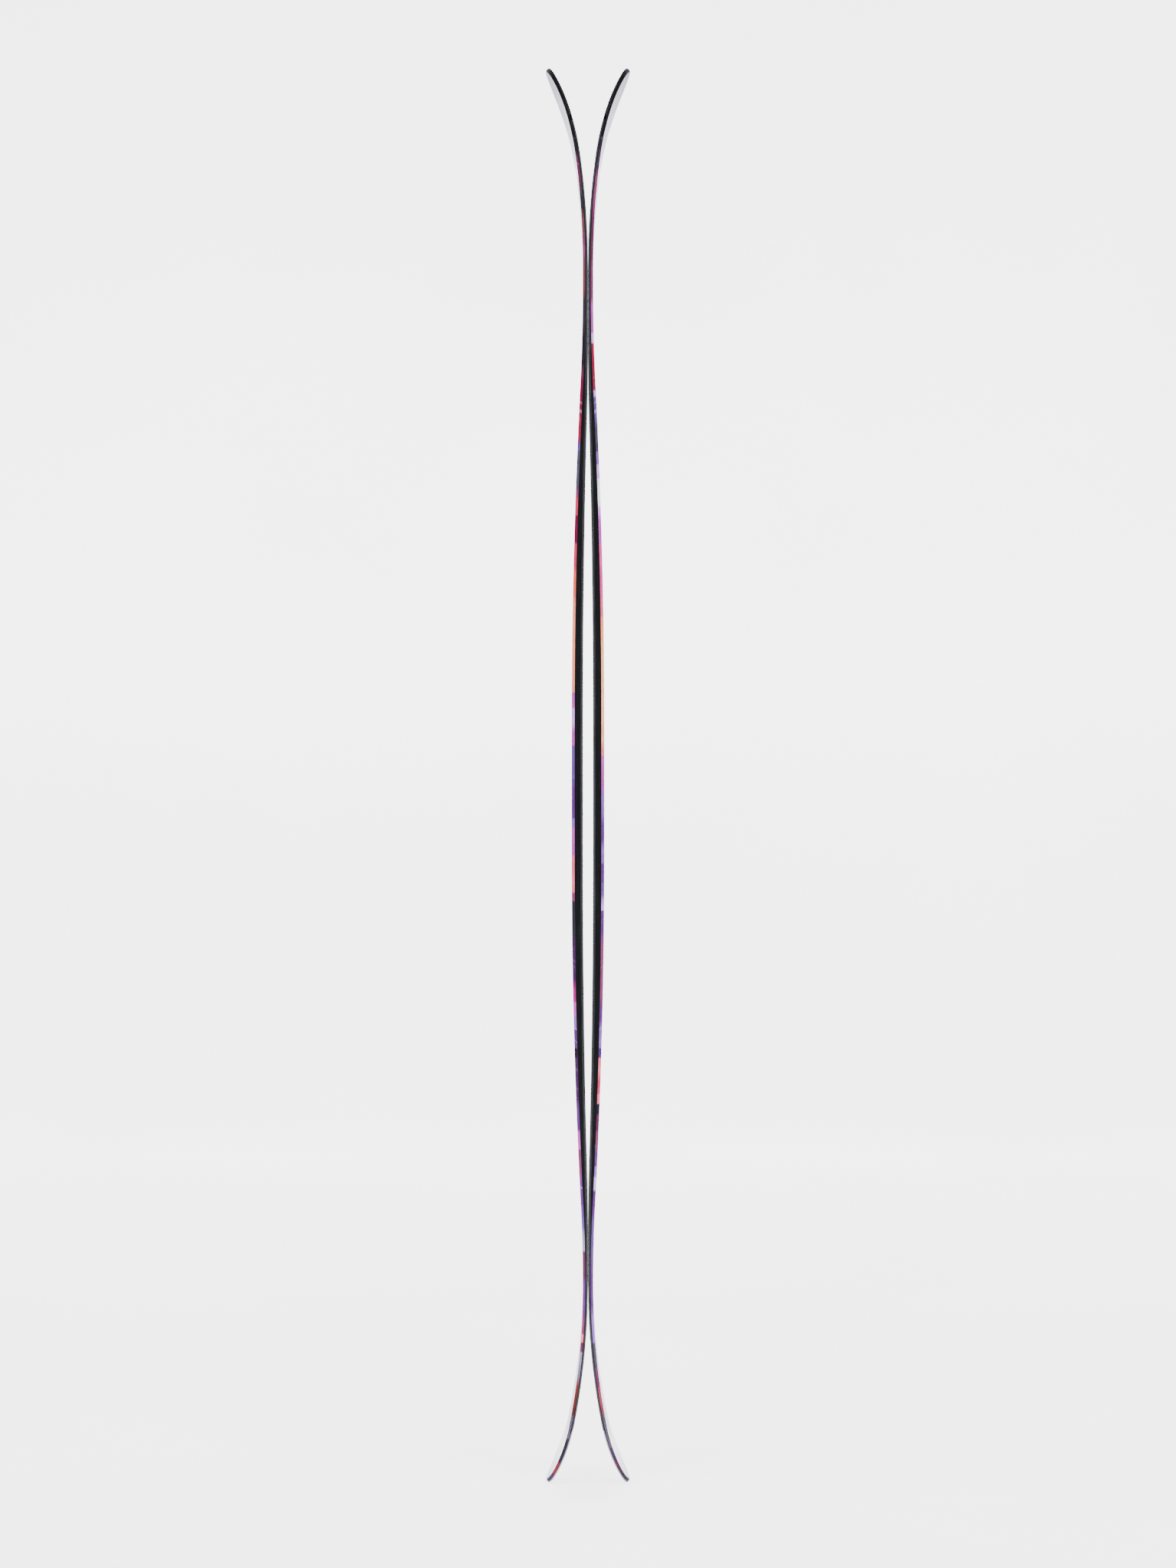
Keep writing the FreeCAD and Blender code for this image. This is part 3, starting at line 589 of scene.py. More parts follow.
class Graph:
    """Adds nodes to one new material; values that are sockets are linked, others are set."""

    def __init__(self, name):
        self.material = bpy.data.materials.new(name)
        self.material.use_nodes = True
        self.tree = self.material.node_tree
        self.tree.nodes.clear()
        self.here = self.node("ShaderNodeTexCoord").outputs["Object"]

    def node(self, kind, inputs=None, **settings):
        """New node; inputs are its sockets and settings its own properties."""
        made = self.tree.nodes.new(kind)
        for key, value in settings.items():
            setattr(made, key, value)
        for key, value in (inputs or {}).items():
            self.feed(made.inputs[key], value)
        return made

    def feed(self, socket, value):
        if isinstance(value, bpy.types.NodeSocket):
            self.tree.links.new(value, socket)
        else:
            socket.default_value = value

    def math(self, operation, first, second=0.0):
        return self.node("ShaderNodeMath", {0: first, 1: second}, operation=operation).outputs[0]

    def axis(self, name):
        """X, Y or Z of the place in the pair's own frame, in metres."""
        return self.node("ShaderNodeSeparateXYZ", {"Vector": self.here}).outputs[name]

    def turned(self, scale, angle=0.0):
        """Object coordinates turned about X by angle in degrees and then scaled."""
        rotation = (math.radians(angle), 0.0, 0.0)
        turned = self.node("ShaderNodeMapping", {"Vector": self.here, "Rotation": rotation})
        inputs = {"Vector": turned.outputs["Vector"], "Scale": scale}
        return self.node("ShaderNodeMapping", inputs).outputs["Vector"]

    def noise(self, scale, detail=3.0, vector=None, roughness=0.5):
        inputs = {
            "Vector": vector or self.here, "Scale": scale, "Detail": detail, "Roughness": roughness,
        }
        return self.node("ShaderNodeTexNoise", inputs).outputs["Fac"]

    def cells(self, scale, vector=None, output="Color"):
        inputs = {"Vector": vector or self.here, "Scale": scale}
        return self.node("ShaderNodeTexVoronoi", inputs).outputs[output]

    def window(self, value, low, high, out_low=0.0, out_high=1.0):
        """Maps low..high onto out_low..out_high smoothly and holds beyond."""
        inputs = {
            "Value": value, "From Min": low, "From Max": high, "To Min": out_low, "To Max": out_high,
        }
        made = self.node("ShaderNodeMapRange", inputs, interpolation_type="SMOOTHSTEP")
        return made.outputs["Result"]

    def mix(self, share, first, second, blend="MIX"):
        inputs = {"Fac": share, "Color1": first, "Color2": second}
        return self.node("ShaderNodeMixRGB", inputs, blend_type=blend).outputs["Color"]

    def bump(self, height, distance, normal=None):
        inputs = {"Height": height, "Distance": distance, "Strength": 1.0}
        if normal is not None:
            inputs["Normal"] = normal
        return self.node("ShaderNodeBump", inputs).outputs["Normal"]

    def finish(self, **inputs):
        """Principled surface; keys are socket names with underscores for spaces."""
        named = {key.replace("_", " "): value for key, value in inputs.items()}
        shader = self.node("ShaderNodeBsdfPrincipled", named)
        output = self.node("ShaderNodeOutputMaterial")
        self.tree.links.new(shader.outputs["BSDF"], output.inputs["Surface"])
        return self.material


# ---------------------------------------------------------------- materials: printed topsheets

INK = {
    "night": "#1f1428", "coal": "#2a2430", "slate": "#484057", "dusk": "#431b50",
    "plum": "#5c2348", "cocoa": "#683642", "mauve": "#7a3460", "brick": "#963630",
    "wine": "#76083a", "berry": "#9a0f3e", "rose": "#c8204f", "coral": "#f6584a",
    "peach": "#ff8a66", "sand": "#ffa67a", "blush": "#ea5a7e", "magenta": "#981470",
    "violet": "#5c2a78", "grape": "#46216e", "iris": "#603e8c", "lavender": "#8052b0",
    "orchid": "#b440ae", "lilac": "#cf8cf2", "mist": "#8a7a9c", "snow": "#fbf7ff",
    "fuchsia": "#dc3a96", "shade": "#3a2c46",
}

HARD = 0.0012  # metres over which a band blends into the band below
SOFT = 0.014

# Colour bands along each ski's near shoulder: where a band starts above the tail, in metres,
# how long it blends into the band below, and its colour.
LEFT_BANDS = [
    (0.000, HARD, "slate"), (0.008, SOFT, "violet"), (0.019, HARD, "rose"),
    (0.036, HARD, "shade"), (0.066, HARD, "mist"), (0.096, HARD, "brick"),
    (0.140, SOFT, "mist"), (0.174, HARD, "plum"), (0.186, HARD, "blush"),
    (0.197, HARD, "mauve"), (0.220, SOFT, "violet"), (0.266, HARD, "plum"),
    (0.300, HARD, "mist"), (0.324, SOFT, "iris"), (0.357, HARD, "violet"),
    (0.392, SOFT, "mauve"), (0.426, HARD, "orchid"), (0.449, HARD, "violet"),
    (0.483, SOFT, "dusk"), (0.540, HARD, "night"), (0.552, HARD, "violet"),
    (0.575, HARD, "lavender"), (0.592, HARD, "orchid"), (0.609, HARD, "magenta"),
    (0.632, SOFT, "dusk"), (0.688, SOFT, "coal"), (0.735, HARD, "mauve"),
    (0.746, HARD, "blush"), (0.792, SOFT, "orchid"), (0.826, HARD, "lavender"),
    (0.838, HARD, "violet"), (0.883, SOFT, "iris"), (0.929, HARD, "orchid"),
    (0.952, SOFT, "lilac"), (0.975, HARD, "orchid"), (0.996, HARD, "peach"),
    (1.112, SOFT, "coral"), (1.146, SOFT, "rose"), (1.181, HARD, "wine"),
    (1.215, HARD, "rose"), (1.238, HARD, "mauve"), (1.249, HARD, "slate"),
    (1.295, HARD, "iris"), (1.307, HARD, "berry"), (1.341, SOFT, "wine"),
    (1.387, SOFT, "plum"), (1.398, SOFT, "night"), (1.442, SOFT, "coal"),
    (1.488, SOFT, "cocoa"), (1.535, SOFT, "mauve"), (1.567, HARD, "cocoa"),
    (1.590, SOFT, "coal"), (1.624, SOFT, "plum"), (1.660, SOFT, "coal"),
]
RIGHT_BANDS = [
    (0.000, HARD, "coal"), (0.006, HARD, "shade"), (0.022, SOFT, "mauve"),
    (0.042, HARD, "violet"), (0.055, HARD, "mist"), (0.097, HARD, "blush"),
    (0.128, SOFT, "mauve"), (0.152, SOFT, "slate"),
    (0.186, HARD, "lavender"), (0.226, SOFT, "violet"), (0.290, SOFT, "iris"),
    (0.340, SOFT, "violet"), (0.375, HARD, "lilac"), (0.392, HARD, "lavender"),
    (0.405, HARD, "violet"), (0.426, SOFT, "mauve"), (0.449, HARD, "plum"),
    (0.470, HARD, "night"), (0.483, HARD, "blush"), (0.495, HARD, "rose"),
    (0.518, SOFT, "blush"), (0.540, HARD, "grape"), (0.552, HARD, "lavender"),
    (0.580, SOFT, "violet"), (0.609, SOFT, "mauve"), (0.688, SOFT, "violet"),
    (0.724, HARD, "lilac"), (0.735, SOFT, "iris"), (0.759, HARD, "violet"),
    (0.782, HARD, "lavender"), (0.804, SOFT, "violet"), (0.838, SOFT, "lavender"),
    (0.872, SOFT, "orchid"), (0.917, HARD, "blush"), (0.929, SOFT, "sand"),
    (0.986, SOFT, "sand"), (1.060, SOFT, "peach"), (1.090, HARD, "blush"),
    (1.112, SOFT, "fuchsia"), (1.181, HARD, "orchid"), (1.215, SOFT, "lilac"),
    (1.226, HARD, "snow"), (1.261, SOFT, "lilac"), (1.278, HARD, "lavender"),
    (1.295, HARD, "slate"), (1.330, SOFT, "iris"), (1.364, HARD, "lilac"),
    (1.372, HARD, "berry"), (1.430, HARD, "lilac"), (1.442, HARD, "orchid"),
    (1.480, SOFT, "mauve"), (1.530, SOFT, "plum"), (1.590, SOFT, "mauve"),
    (1.640, SOFT, "shade"),
]
BANDS_TOP = 1.79
BANDS_PER_RAMP = 14  # two stops for each band, and a colour ramp holds at most 32


def band_stops(bands, first, last, low, high):
    """Ramp stops (place from 0 to 1, colour) for bands first to last between two heights."""
    stops = []
    for number in range(first, last):
        start, blend, colour = bands[number]
        following = bands[number + 1] if number + 1 < len(bands) else (high, 0.0, colour)
        begin = max(start + blend / 2, low)
        end = min(following[0] - following[1] / 2, high)
        for height in (begin, max(end, begin + 0.0004)):
            stops.append(((height - low) / (high - low), colour))
    return stops


def banded(graph, height, bands):
    """Colour of the band at a height, from as many ramps as the bands need."""
    colour = None
    for first in range(0, len(bands), BANDS_PER_RAMP):
        last = min(first + BANDS_PER_RAMP, len(bands))
        low = bands[first][0]
        high = bands[last][0] if last < len(bands) else BANDS_TOP
        share = graph.node(
            "ShaderNodeMapRange", {"Value": height, "From Min": low, "From Max": high}
        ).outputs["Result"]
        ramp = graph.node("ShaderNodeValToRGB", {"Fac": share})
        elements = ramp.color_ramp.elements
        stops = band_stops(bands, first, last, low, high)
        while len(elements) < len(stops):
            elements.new(1.0)
        for element, (place, name) in zip(elements, stops):
            element.position = place
            element.color = linear(INK[name])
        above = ramp.outputs["Color"]
        if colour is None:
            colour = above
        else:
            colour = graph.mix(graph.math("GREATER_THAN", height, low), colour, above)
    return colour


def print_detail(graph, colour, strength):
    """Halftone dots, diagonal streaks and soft mottling laid over a printed colour."""
    patches = graph.noise(14.0, 2.0)
    dots = graph.cells(520.0, graph.turned((1.0, 1.0, 1.0), 45.0), "Distance")
    dotted = graph.math("LESS_THAN", dots, graph.window(patches, 0.5, 0.62, 0.0, 0.42))
    colour = graph.mix(graph.math("MULTIPLY", dotted, 0.4 * strength), colour, linear("#2a1f33"))
    slanted = graph.turned((1.0, 260.0, 16.0), 38.0)
    streaks = graph.window(graph.noise(1.0, 3.0, slanted), 0.6, 0.72)
    spread_out = graph.window(graph.noise(9.0, 1.0), 0.52, 0.6)
    share = graph.math("MULTIPLY", streaks, spread_out)
    colour = graph.mix(graph.math("MULTIPLY", share, 0.55 * strength), colour, linear("#efe6f2"))
    cloud = graph.window(graph.noise(70.0, 4.0), 0.3, 0.7, 0.84, 1.08)
    grey = graph.node("ShaderNodeCombineColor", {"Red": cloud, "Green": cloud, "Blue": cloud})
    return graph.mix(1.0, colour, grey.outputs["Color"], "MULTIPLY")


def lacquer(graph, colour, chips, gloss):
    """Clear coat over a print, with fine scratches, dust and rubbed or chipped places.

    chips is how strongly the chips show, and gloss is the shader's specular level.
    """
    along = graph.noise(1.0, 4.0, graph.turned((900.0, 900.0, 14.0), 4.0), 0.6)
    scratches = graph.window(along, 0.62, 0.74)
    dust = graph.window(graph.noise(300.0, 4.0), 0.45, 0.8)
    colour = graph.mix(graph.math("MULTIPLY", scratches, 0.12), colour, linear("#cfcbd2"))
    nicks = graph.window(graph.noise(420.0, 2.0), 0.74, 0.78)
    colour = graph.mix(graph.math("MULTIPLY", nicks, chips), colour, linear("#1b1a1d"))
    worn = graph.window(scratches, 0.0, 1.0, 0.2, 0.42)
    roughness = graph.math("ADD", worn, graph.math("MULTIPLY", dust, 0.12))
    relief = graph.bump(scratches, -0.00004)
    relief = graph.bump(graph.noise(60.0, 2.0), 0.00006, relief)
    relief = graph.bump(graph.math("MULTIPLY", nicks, chips), -0.00012, relief)
    return graph.finish(
        Base_Color=colour, Roughness=roughness, Normal=relief, Specular_IOR_Level=gloss,
        Coat_Weight=0.06, Coat_Roughness=0.2,
    )


def shoulder_material(name, bands):
    """The strip that shows edge-on: the bands along the near side, darker at both ends."""
    graph = Graph(name)
    height = graph.axis("Z")
    wander = graph.math("MULTIPLY", graph.noise(60.0, 2.0), 0.004)
    colour = banded(graph, graph.math("ADD", height, wander), bands)
    colour = print_detail(graph, colour, 0.4)
    tip = graph.window(height, 1.655, 1.69)
    colour = graph.mix(graph.math("MULTIPLY", tip, 0.95), colour, linear("#131216"))
    tail = graph.window(height, 0.19, 0.1)
    colour = graph.mix(graph.math("MULTIPLY", tail, 0.76), colour, linear("#191319"))
    return lacquer(graph, colour, 0.5, 0.0)


def face_material(name, bands, gloss):
    """The deck: slanting shards, each showing a shifted piece of the bands, and pale noses.

    The shards fade out towards the near rim, where the bands go on from the shoulder.
    """
    graph = Graph(name)
    height = graph.axis("Z")
    across = graph.axis("Y")
    inward = graph.window(across, -0.046, -0.03)
    shards = graph.cells(1.0, graph.turned((1.0, 34.0, 7.0), 24.0))
    drawn = graph.node("ShaderNodeSeparateColor", {"Color": shards}).outputs["Red"]
    shift = graph.math("MULTIPLY", graph.math("SUBTRACT", drawn, 0.5), 0.3)
    shift = graph.math("MULTIPLY", shift, inward)
    slant = graph.math("MULTIPLY", graph.math("ADD", across, 0.05), 0.7)
    place = graph.math("ADD", graph.math("ADD", height, slant), shift)
    colour = banded(graph, place, bands)
    tone = graph.node("ShaderNodeSeparateColor", {"Color": shards}).outputs["Green"]
    colour = graph.mix(graph.math("MULTIPLY", tone, 0.08), colour, linear(INK["snow"]))
    colour = print_detail(graph, colour, 1.0)
    colour = graph.mix(0.45, colour, linear("#2c1c38"))

    edge_of_nose = graph.math("MULTIPLY", graph.math("ABSOLUTE", across), 0.5)
    tip_place = graph.math("ADD", height, edge_of_nose)
    tip = graph.window(tip_place, 1.655, 1.66)
    tail = graph.window(graph.math("SUBTRACT", height, edge_of_nose), 0.055, 0.052)
    tint = graph.window(height, 1.66, 1.78)
    pale = graph.mix(tint, linear("#e4e1e8"), linear("#a29eac"))
    violet = graph.window(height, 0.05, 0.0)
    pale = graph.mix(graph.math("MULTIPLY", violet, 0.8), pale, linear("#8f7aa8"))
    wisps = graph.window(graph.noise(26.0, 5.0, roughness=0.65), 0.45, 0.75)
    pale = graph.mix(graph.math("MULTIPLY", wisps, 0.35), pale, linear("#b9b3c6"))
    noses = graph.math("MAXIMUM", tip, tail)
    return lacquer(graph, graph.mix(noses, colour, pale), 0.3, gloss)


# ---------------------------------------------------------------- materials: the other layers


def sole_material():
    """Black sintered base: ground structure, wax bloom, pale inlays beside the tail's apex."""
    graph = Graph("sintered_sole")
    height = graph.axis("Z")
    grain = graph.noise(900.0, 4.0)
    dark = graph.mix(graph.window(grain, 0.35, 0.65), linear("#0c0c0f"), linear("#1a1a1e"))
    pale = graph.mix(graph.window(grain, 0.35, 0.65), linear("#7d7d84"), linear("#98989f"))
    lean = graph.math("MULTIPLY", graph.math("ABSOLUTE", graph.axis("Y")), 1.6)
    inlay = graph.window(graph.math("SUBTRACT", height, lean), -0.018, -0.02)
    colour = graph.mix(inlay, dark, pale)
    bloom = graph.window(graph.noise(18.0, 5.0), 0.5, 0.78)
    colour = graph.mix(graph.math("MULTIPLY", bloom, 0.1), colour, linear("#85858c"))
    grooves = graph.noise(1.0, 2.0, graph.turned((1.0, 1500.0, 9.0), 6.0))
    scuffs = graph.window(graph.noise(1.0, 4.0, graph.turned((1.0, 500.0, 6.0), 2.0)), 0.62, 0.75)
    roughness = graph.window(grain, 0.2, 0.8, 0.34, 0.55)
    relief = graph.bump(grooves, 0.00008)
    relief = graph.bump(scuffs, -0.00006, relief)
    return graph.finish(
        Base_Color=colour, Roughness=roughness, Normal=relief, Specular_IOR_Level=0.0
    )


def steel_material():
    """Ground edge steel: fine lines along the edge, dark bluing and a few rust spots."""
    graph = Graph("edge_steel")
    lines = graph.noise(1.0, 4.0, graph.turned((3000.0, 3000.0, 20.0)), 0.65)
    tone = graph.mix(graph.window(lines, 0.3, 0.7), linear("#1f2024"), linear("#47484e"))
    heat = graph.window(graph.noise(9.0, 3.0), 0.4, 0.7)
    tone = graph.mix(graph.math("MULTIPLY", heat, 0.3), tone, linear("#1a1c22"))
    spots = graph.window(graph.noise(140.0, 5.0), 0.68, 0.76)
    colour = graph.mix(graph.math("MULTIPLY", spots, 0.7), tone, linear("#6b3f27"))
    metal = graph.math("SUBTRACT", 0.4, graph.math("MULTIPLY", spots, 0.3))
    roughness = graph.window(lines, 0.25, 0.75, 0.5, 0.68)
    relief = graph.bump(lines, 0.00002)
    return graph.finish(
        Base_Color=colour, Metallic=metal, Roughness=roughness, Normal=relief,
        Specular_IOR_Level=0.1,
    )


def rubber_material():
    """Dull black foil with fine specks and faint pale clouds."""
    graph = Graph("damping_rubber")
    specks = graph.noise(1400.0, 3.0)
    colour = graph.mix(graph.window(specks, 0.4, 0.7), linear("#0a0a0b"), linear("#1c1c1e"))
    cloud = graph.window(graph.noise(25.0, 3.0), 0.4, 0.7)
    colour = graph.mix(graph.math("MULTIPLY", cloud, 0.25), colour, linear("#242322"))
    roughness = graph.window(specks, 0.3, 0.7, 0.7, 0.9)
    return graph.finish(
        Base_Color=colour, Roughness=roughness, Normal=graph.bump(specks, 0.00005),
        Specular_IOR_Level=0.1,
    )


def laminate_material(name, dark, light):
    """Glass fibre in resin: bundles along the ski, a finer cross weave and cloudy resin."""
    graph = Graph(name)
    bundles = graph.noise(1.0, 2.0, graph.turned((1200.0, 1200.0, 12.0)))
    weave = graph.noise(1.0, 1.0, graph.turned((500.0, 60.0, 1100.0)))
    threads = graph.math(
        "ADD", graph.math("MULTIPLY", bundles, 0.7), graph.math("MULTIPLY", weave, 0.3)
    )
    colour = graph.mix(graph.window(threads, 0.38, 0.62), linear(dark), linear(light))
    resin = graph.window(graph.noise(35.0, 4.0), 0.4, 0.75)
    colour = graph.mix(graph.math("MULTIPLY", resin, 0.3), colour, linear("#2c2b29"))
    roughness = graph.window(threads, 0.3, 0.7, 0.32, 0.55)
    return graph.finish(
        Base_Color=colour, Roughness=roughness, Normal=graph.bump(threads, 0.00006),
        Specular_IOR_Level=0.2,
    )


def sidewall_material():
    """Deep black milled plastic: fine lines along the wall, small nicks and a little pale wax."""
    graph = Graph("sidewall_abs")
    lines = graph.noise(1.0, 3.0, graph.turned((2600.0, 2600.0, 10.0)), 0.6)
    colour = graph.mix(graph.window(lines, 0.3, 0.7), linear("#060607"), linear("#121315"))
    smears = graph.window(graph.noise(1.0, 5.0, graph.turned((160.0, 160.0, 18.0)), 0.6), 0.56, 0.8)
    colour = graph.mix(graph.math("MULTIPLY", smears, 0.3), colour, linear("#26282d"))
    nicks = graph.window(graph.noise(1.0, 3.0, graph.turned((700.0, 700.0, 160.0))), 0.7, 0.76)
    colour = graph.mix(graph.math("MULTIPLY", nicks, 0.4), colour, linear("#4a4b50"))
    ground = graph.window(lines, 0.3, 0.7, 0.4, 0.54)
    roughness = graph.math("ADD", ground, graph.math("MULTIPLY", smears, 0.18))
    relief = graph.bump(lines, 0.00006)
    relief = graph.bump(nicks, -0.00015, relief)
    return graph.finish(
        Base_Color=colour, Roughness=roughness, Normal=relief, Specular_IOR_Level=0.06
    )


def spacer_material():
    """Moulded plastic with flow marks, a little lighter at the tip's nose."""
    graph = Graph("spacer_plastic")
    flow = graph.noise(1.0, 4.0, graph.turned((90.0, 60.0, 14.0), 12.0))
    grey = graph.mix(graph.window(flow, 0.35, 0.65), linear("#26272b"), linear("#3c3e43"))
    dark = graph.mix(graph.window(flow, 0.35, 0.65), linear("#17161a"), linear("#28262c"))
    colour = graph.mix(graph.window(graph.axis("Z"), 1.66, 1.74), dark, grey)
    grain = graph.noise(1100.0, 3.0)
    roughness = graph.window(grain, 0.3, 0.7, 0.4, 0.6)
    return graph.finish(
        Base_Color=colour, Roughness=roughness, Normal=graph.bump(grain, 0.00004),
        Specular_IOR_Level=0.1,
    )


def alloy_material():
    """Rolled alloy with lines along the ski and a haze of old glue."""
    graph = Graph("plate_alloy")
    lines = graph.noise(1.0, 4.0, graph.turned((60.0, 2200.0, 9.0)), 0.65)
    colour = graph.mix(graph.window(lines, 0.3, 0.7), linear("#8d9096"), linear("#b9bcc1"))
    haze = graph.window(graph.noise(16.0, 4.0), 0.4, 0.7)
    colour = graph.mix(graph.math("MULTIPLY", haze, 0.3), colour, linear("#7c7a70"))
    roughness = graph.window(lines, 0.3, 0.7, 0.28, 0.46)
    return graph.finish(
        Base_Color=colour, Roughness=roughness, Normal=graph.bump(lines, 0.00005), Metallic=0.95
    )


def wood_material(name, early, late, pore):
    """Straight-grained wood along Z: growth bands, fine fibres and dark pores."""
    graph = Graph(name)
    bend = graph.noise(3.0, 2.0)
    rings = graph.noise(1.0, 3.0, graph.turned((260.0, 260.0, 3.0)), 0.55)
    rings = graph.math("ADD", rings, graph.math("MULTIPLY", bend, 0.25))
    colour = graph.mix(graph.window(rings, 0.45, 0.8), linear(early), linear(late))
    fibres = graph.noise(1.0, 3.0, graph.turned((2400.0, 2400.0, 22.0)))
    pores = graph.window(fibres, 0.62, 0.74)
    colour = graph.mix(graph.math("MULTIPLY", pores, 0.5), colour, linear(pore))
    roughness = graph.window(rings, 0.4, 0.8, 0.55, 0.72)
    relief = graph.bump(pores, -0.00008)
    relief = graph.bump(rings, 0.00006, relief)
    return graph.finish(Base_Color=colour, Roughness=roughness, Normal=relief)


DECK_GLOSS = 0.12
NOSE_GLOSS = 0.0

MATERIALS = {
    "sole": sole_material(),
    "steel": steel_material(),
    "rubber": rubber_material(),
    "lower_laminate": laminate_material("lower_laminate", "#141518", "#2b2c30"),
    "upper_laminate": laminate_material("upper_laminate", "#0d0d10", "#1f1f24"),
    "sidewall": sidewall_material(),
    "spacer": spacer_material(),
    "alloy": alloy_material(),
    "ash": wood_material("ash_wood", "#d9bf94", "#b08a58", "#7d5c36"),
    "poplar": wood_material("poplar_wood", "#e6d8b4", "#cdb887", "#a58f60"),
    "left_face": face_material("left_topsheet_face", LEFT_BANDS, DECK_GLOSS),
    "left_nose": face_material("left_topsheet_nose", LEFT_BANDS, NOSE_GLOSS),
    "left_shoulder": shoulder_material("left_topsheet_shoulder", LEFT_BANDS),
    "right_face": face_material("right_topsheet_face", RIGHT_BANDS, DECK_GLOSS),
    "right_nose": face_material("right_topsheet_nose", RIGHT_BANDS, NOSE_GLOSS),
    "right_shoulder": shoulder_material("right_topsheet_shoulder", RIGHT_BANDS),
}


# ---------------------------------------------------------------- the pair


def dress(piece, ski, nodes, slot, *materials):
    """Give a piece its materials and body, and hide the CAD nodes that it stands for; slot is not
    used.
    """
    for material in materials:
        piece.data.materials.append(MATERIALS[material])
    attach(piece, f"{ski}_ski")
    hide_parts(*[f"{ski}_{node}" for node in nodes])


def build_ski(ski, side):
    """side is 1 for the right ski and -1 for the left; the inner rim is the one at -Y."""
    dress(running_base(ski, side), ski, ["running_base"], "sintered_base", "sole")
    edge_rows = [row for row in ROWS if edged(row)]
    wall_rows = rows_between(*CORE_ENDS)
    for way in (1, -1):
        rim = "outer" if way * side > 0 else "inner"
        edge = strip(f"{ski}_{rim}_steel_edge", side, way, edge_rows, edge_profile)
        dress(edge, ski, [f"{rim}_edge"], "edge_steel", "steel")
        foil = strip(f"{ski}_{rim}_damping_foil", side, way, edge_rows, damping_profile)
        dress(foil, ski, [f"{rim}_damping_strip"], "damping_rubber", "rubber")
        wall = strip(f"{ski}_{rim}_side_wall", side, way, wall_rows, wall_profile)
        dress(wall, ski, [f"{rim}_sidewall"], "sidewall_abs", "sidewall")
    filler = layer(f"{ski}_filler_laminate", side, ROWS, filler_rim)
    dress(filler, ski, ["filler_ply"], "glass_laminate", "lower_laminate")
    lower = layer(f"{ski}_lower_laminate", side, ROWS, lower_ply_rim)
    dress(lower, ski, ["lower_ply"], "glass_laminate", "lower_laminate")
    upper = layer(f"{ski}_upper_laminate", side, ROWS, upper_ply_rim)
    dress(upper, ski, ["upper_ply"], "glass_laminate", "upper_laminate")
    tail_rows = rows_between(-math.inf, CORE_ENDS[0])
    tip_rows = rows_between(CORE_ENDS[1], math.inf)
    tail = layer(f"{ski}_tail_filler", side, tail_rows, spacer_rim)
    dress(tail, ski, ["tail_spacer"], "spacer_plastic", "spacer")
    tip = layer(f"{ski}_tip_filler", side, tip_rows, spacer_rim)
    dress(tip, ski, ["tip_spacer"], "spacer_plastic", "spacer")
    skin = topsheet(ski, side)
    prints = (f"{ski}_face", f"{ski}_shoulder", f"{ski}_nose")
    dress(skin, ski, ["topsheet"], f"{ski}_topsheet", *prints)


build_ski("right", 1)
build_ski("left", -1)

KEPT_NODES = {"poplar_core": "poplar", "ash_stringers": "ash", "mounting_plate": "alloy"}
for ski in ("left", "right"):
    for node, material in KEPT_NODES.items():
        for material_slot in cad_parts[f"{ski}_{node}"].material_slots:
            material_slot.material = MATERIALS[material]


# ---------------------------------------------------------------- floor, light and camera


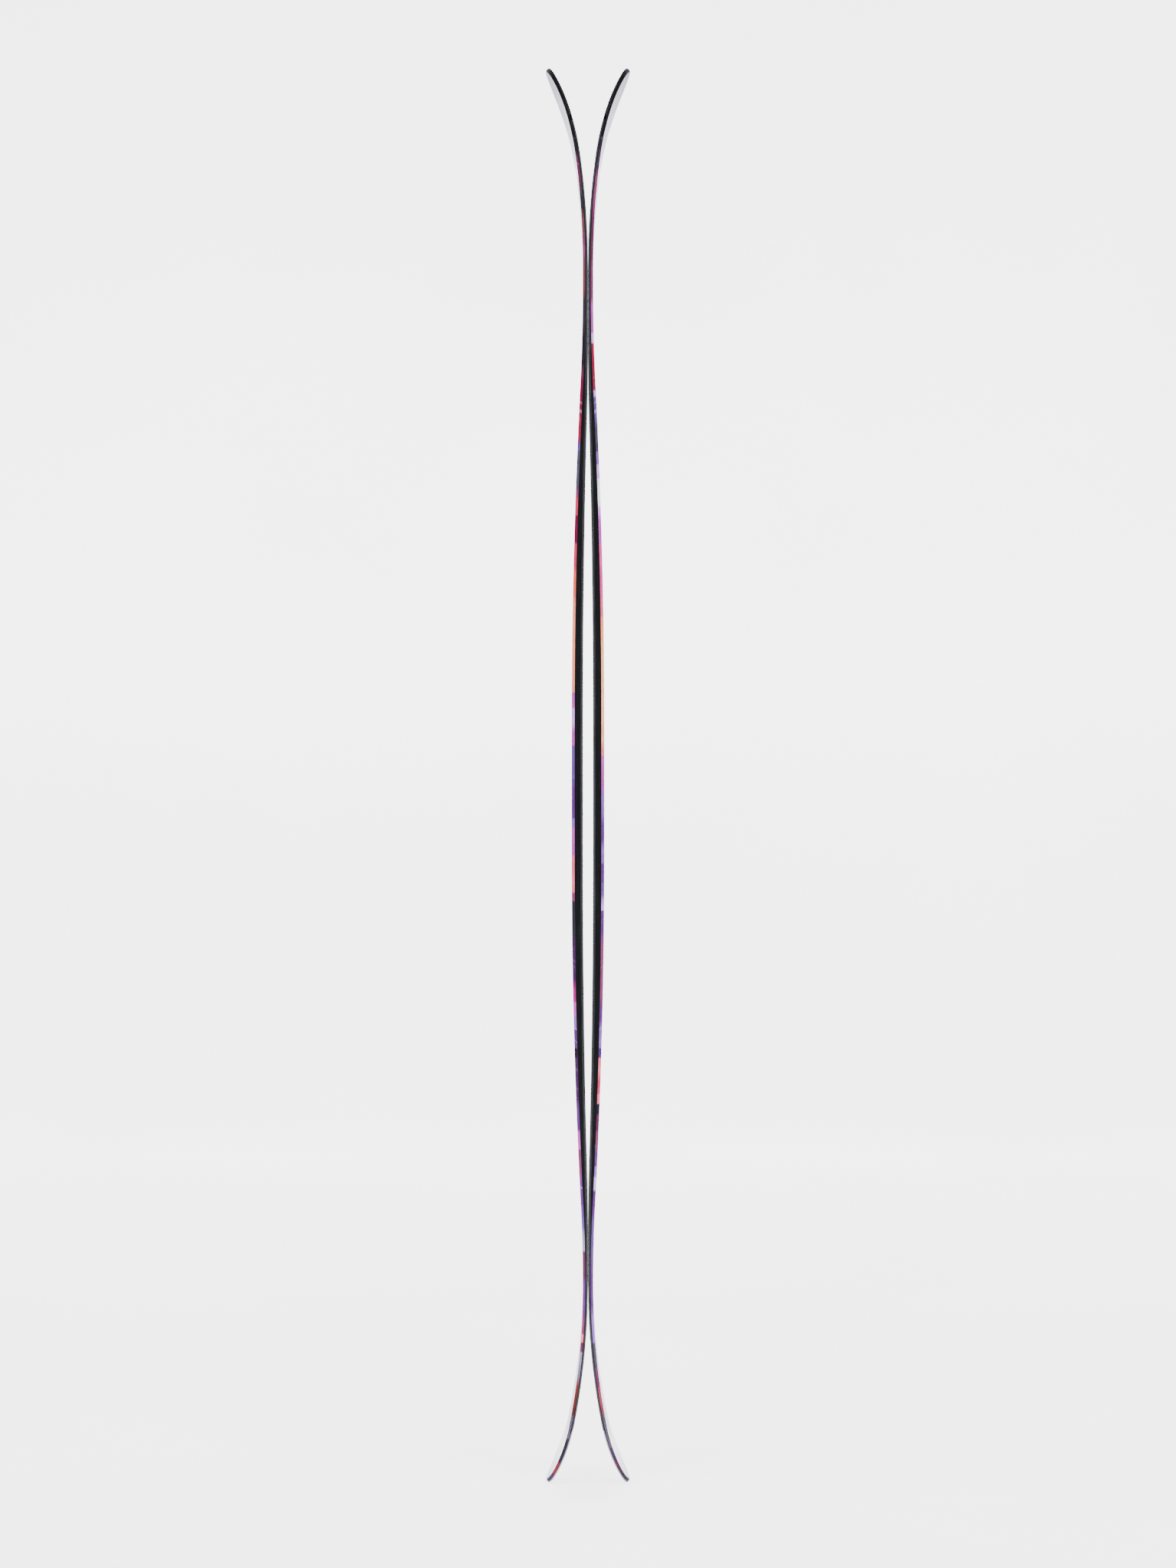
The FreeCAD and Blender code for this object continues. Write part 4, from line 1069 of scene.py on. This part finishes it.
def backdrop():
    """Pale floor that curves up into a wall behind the skis and glows like a light tent."""
    half_span = 6.0
    bend = 1.2
    front = -0.7
    wall = 5.0
    height = 7.0
    bend_steps = 12
    profile = [(front, 0.0), (wall - bend, 0.0)]
    for step in range(1, bend_steps + 1):
        angle = math.pi / 2 * step / bend_steps
        profile.append((wall - bend + bend * math.sin(angle), bend - bend * math.cos(angle)))
    profile.append((wall, height))
    points = [(x, y, z) for y, z in profile for x in (-half_span, half_span)]
    faces = [(2 * i, 2 * i + 1, 2 * i + 3, 2 * i + 2) for i in range(len(profile) - 1)]
    mesh = bpy.data.meshes.new("backdrop")
    mesh.from_pydata(points, [], faces)
    mesh.shade_smooth()
    piece = bpy.data.objects.new("backdrop", mesh)
    bpy.context.scene.collection.objects.link(piece)
    graph = Graph("pale_paper")
    cloud = graph.window(graph.noise(1.5, 3.0), 0.3, 0.7)
    colour = graph.mix(cloud, linear("#f4f4f6"), linear("#f8f8fa"))
    mesh.materials.append(graph.finish(
        Base_Color=colour, Roughness=0.9, Emission_Color=colour, Emission_Strength=3.4
    ))


def area_light(name, place, aim, size, power):
    """Soft rectangular light; size is (width, height) in metres and power is in watts."""
    data = bpy.data.lights.new(name, "AREA")
    data.shape = "RECTANGLE"
    data.size, data.size_y = size
    data.energy = power
    light = bpy.data.objects.new(name, data)
    bpy.context.scene.collection.objects.link(light)
    light.location = place
    light.rotation_euler = look(place, aim)


def look(place, aim):
    """Rotation that points an object's -Z from place to aim with its top upwards."""
    return (Vector(aim) - Vector(place)).to_track_quat("-Z", "Y").to_euler()


def studio():
    """Backdrop, two soft lights in front and a dim even sky."""
    backdrop()
    for name, way in (("left", -1), ("right", 1)):
        place = (way * 3.0, -3.6, 1.6)
        area_light(f"front_{name}", place, (0.0, 0.0, 0.9), (2.6, 3.4), 290.0)
    world = bpy.data.worlds.new("studio")
    world.use_nodes = True
    world.node_tree.nodes["Background"].inputs["Color"].default_value = linear("#f4f4f6")
    world.node_tree.nodes["Background"].inputs["Strength"].default_value = 0.3
    bpy.context.scene.world = world


def camera():
    """Level view of both near edges from the middle of the skis' height."""
    distance = 4.3
    height = 0.879
    data = bpy.data.cameras.new("camera")
    data.lens = 78.3
    data.sensor_width = 36.0
    eye = bpy.data.objects.new("camera", data)
    bpy.context.scene.collection.objects.link(eye)
    eye.location = (0.0, -distance, height)
    eye.rotation_euler = look(eye.location, (0.0, 0.0, height))
    bpy.context.scene.camera = eye


studio()
camera()
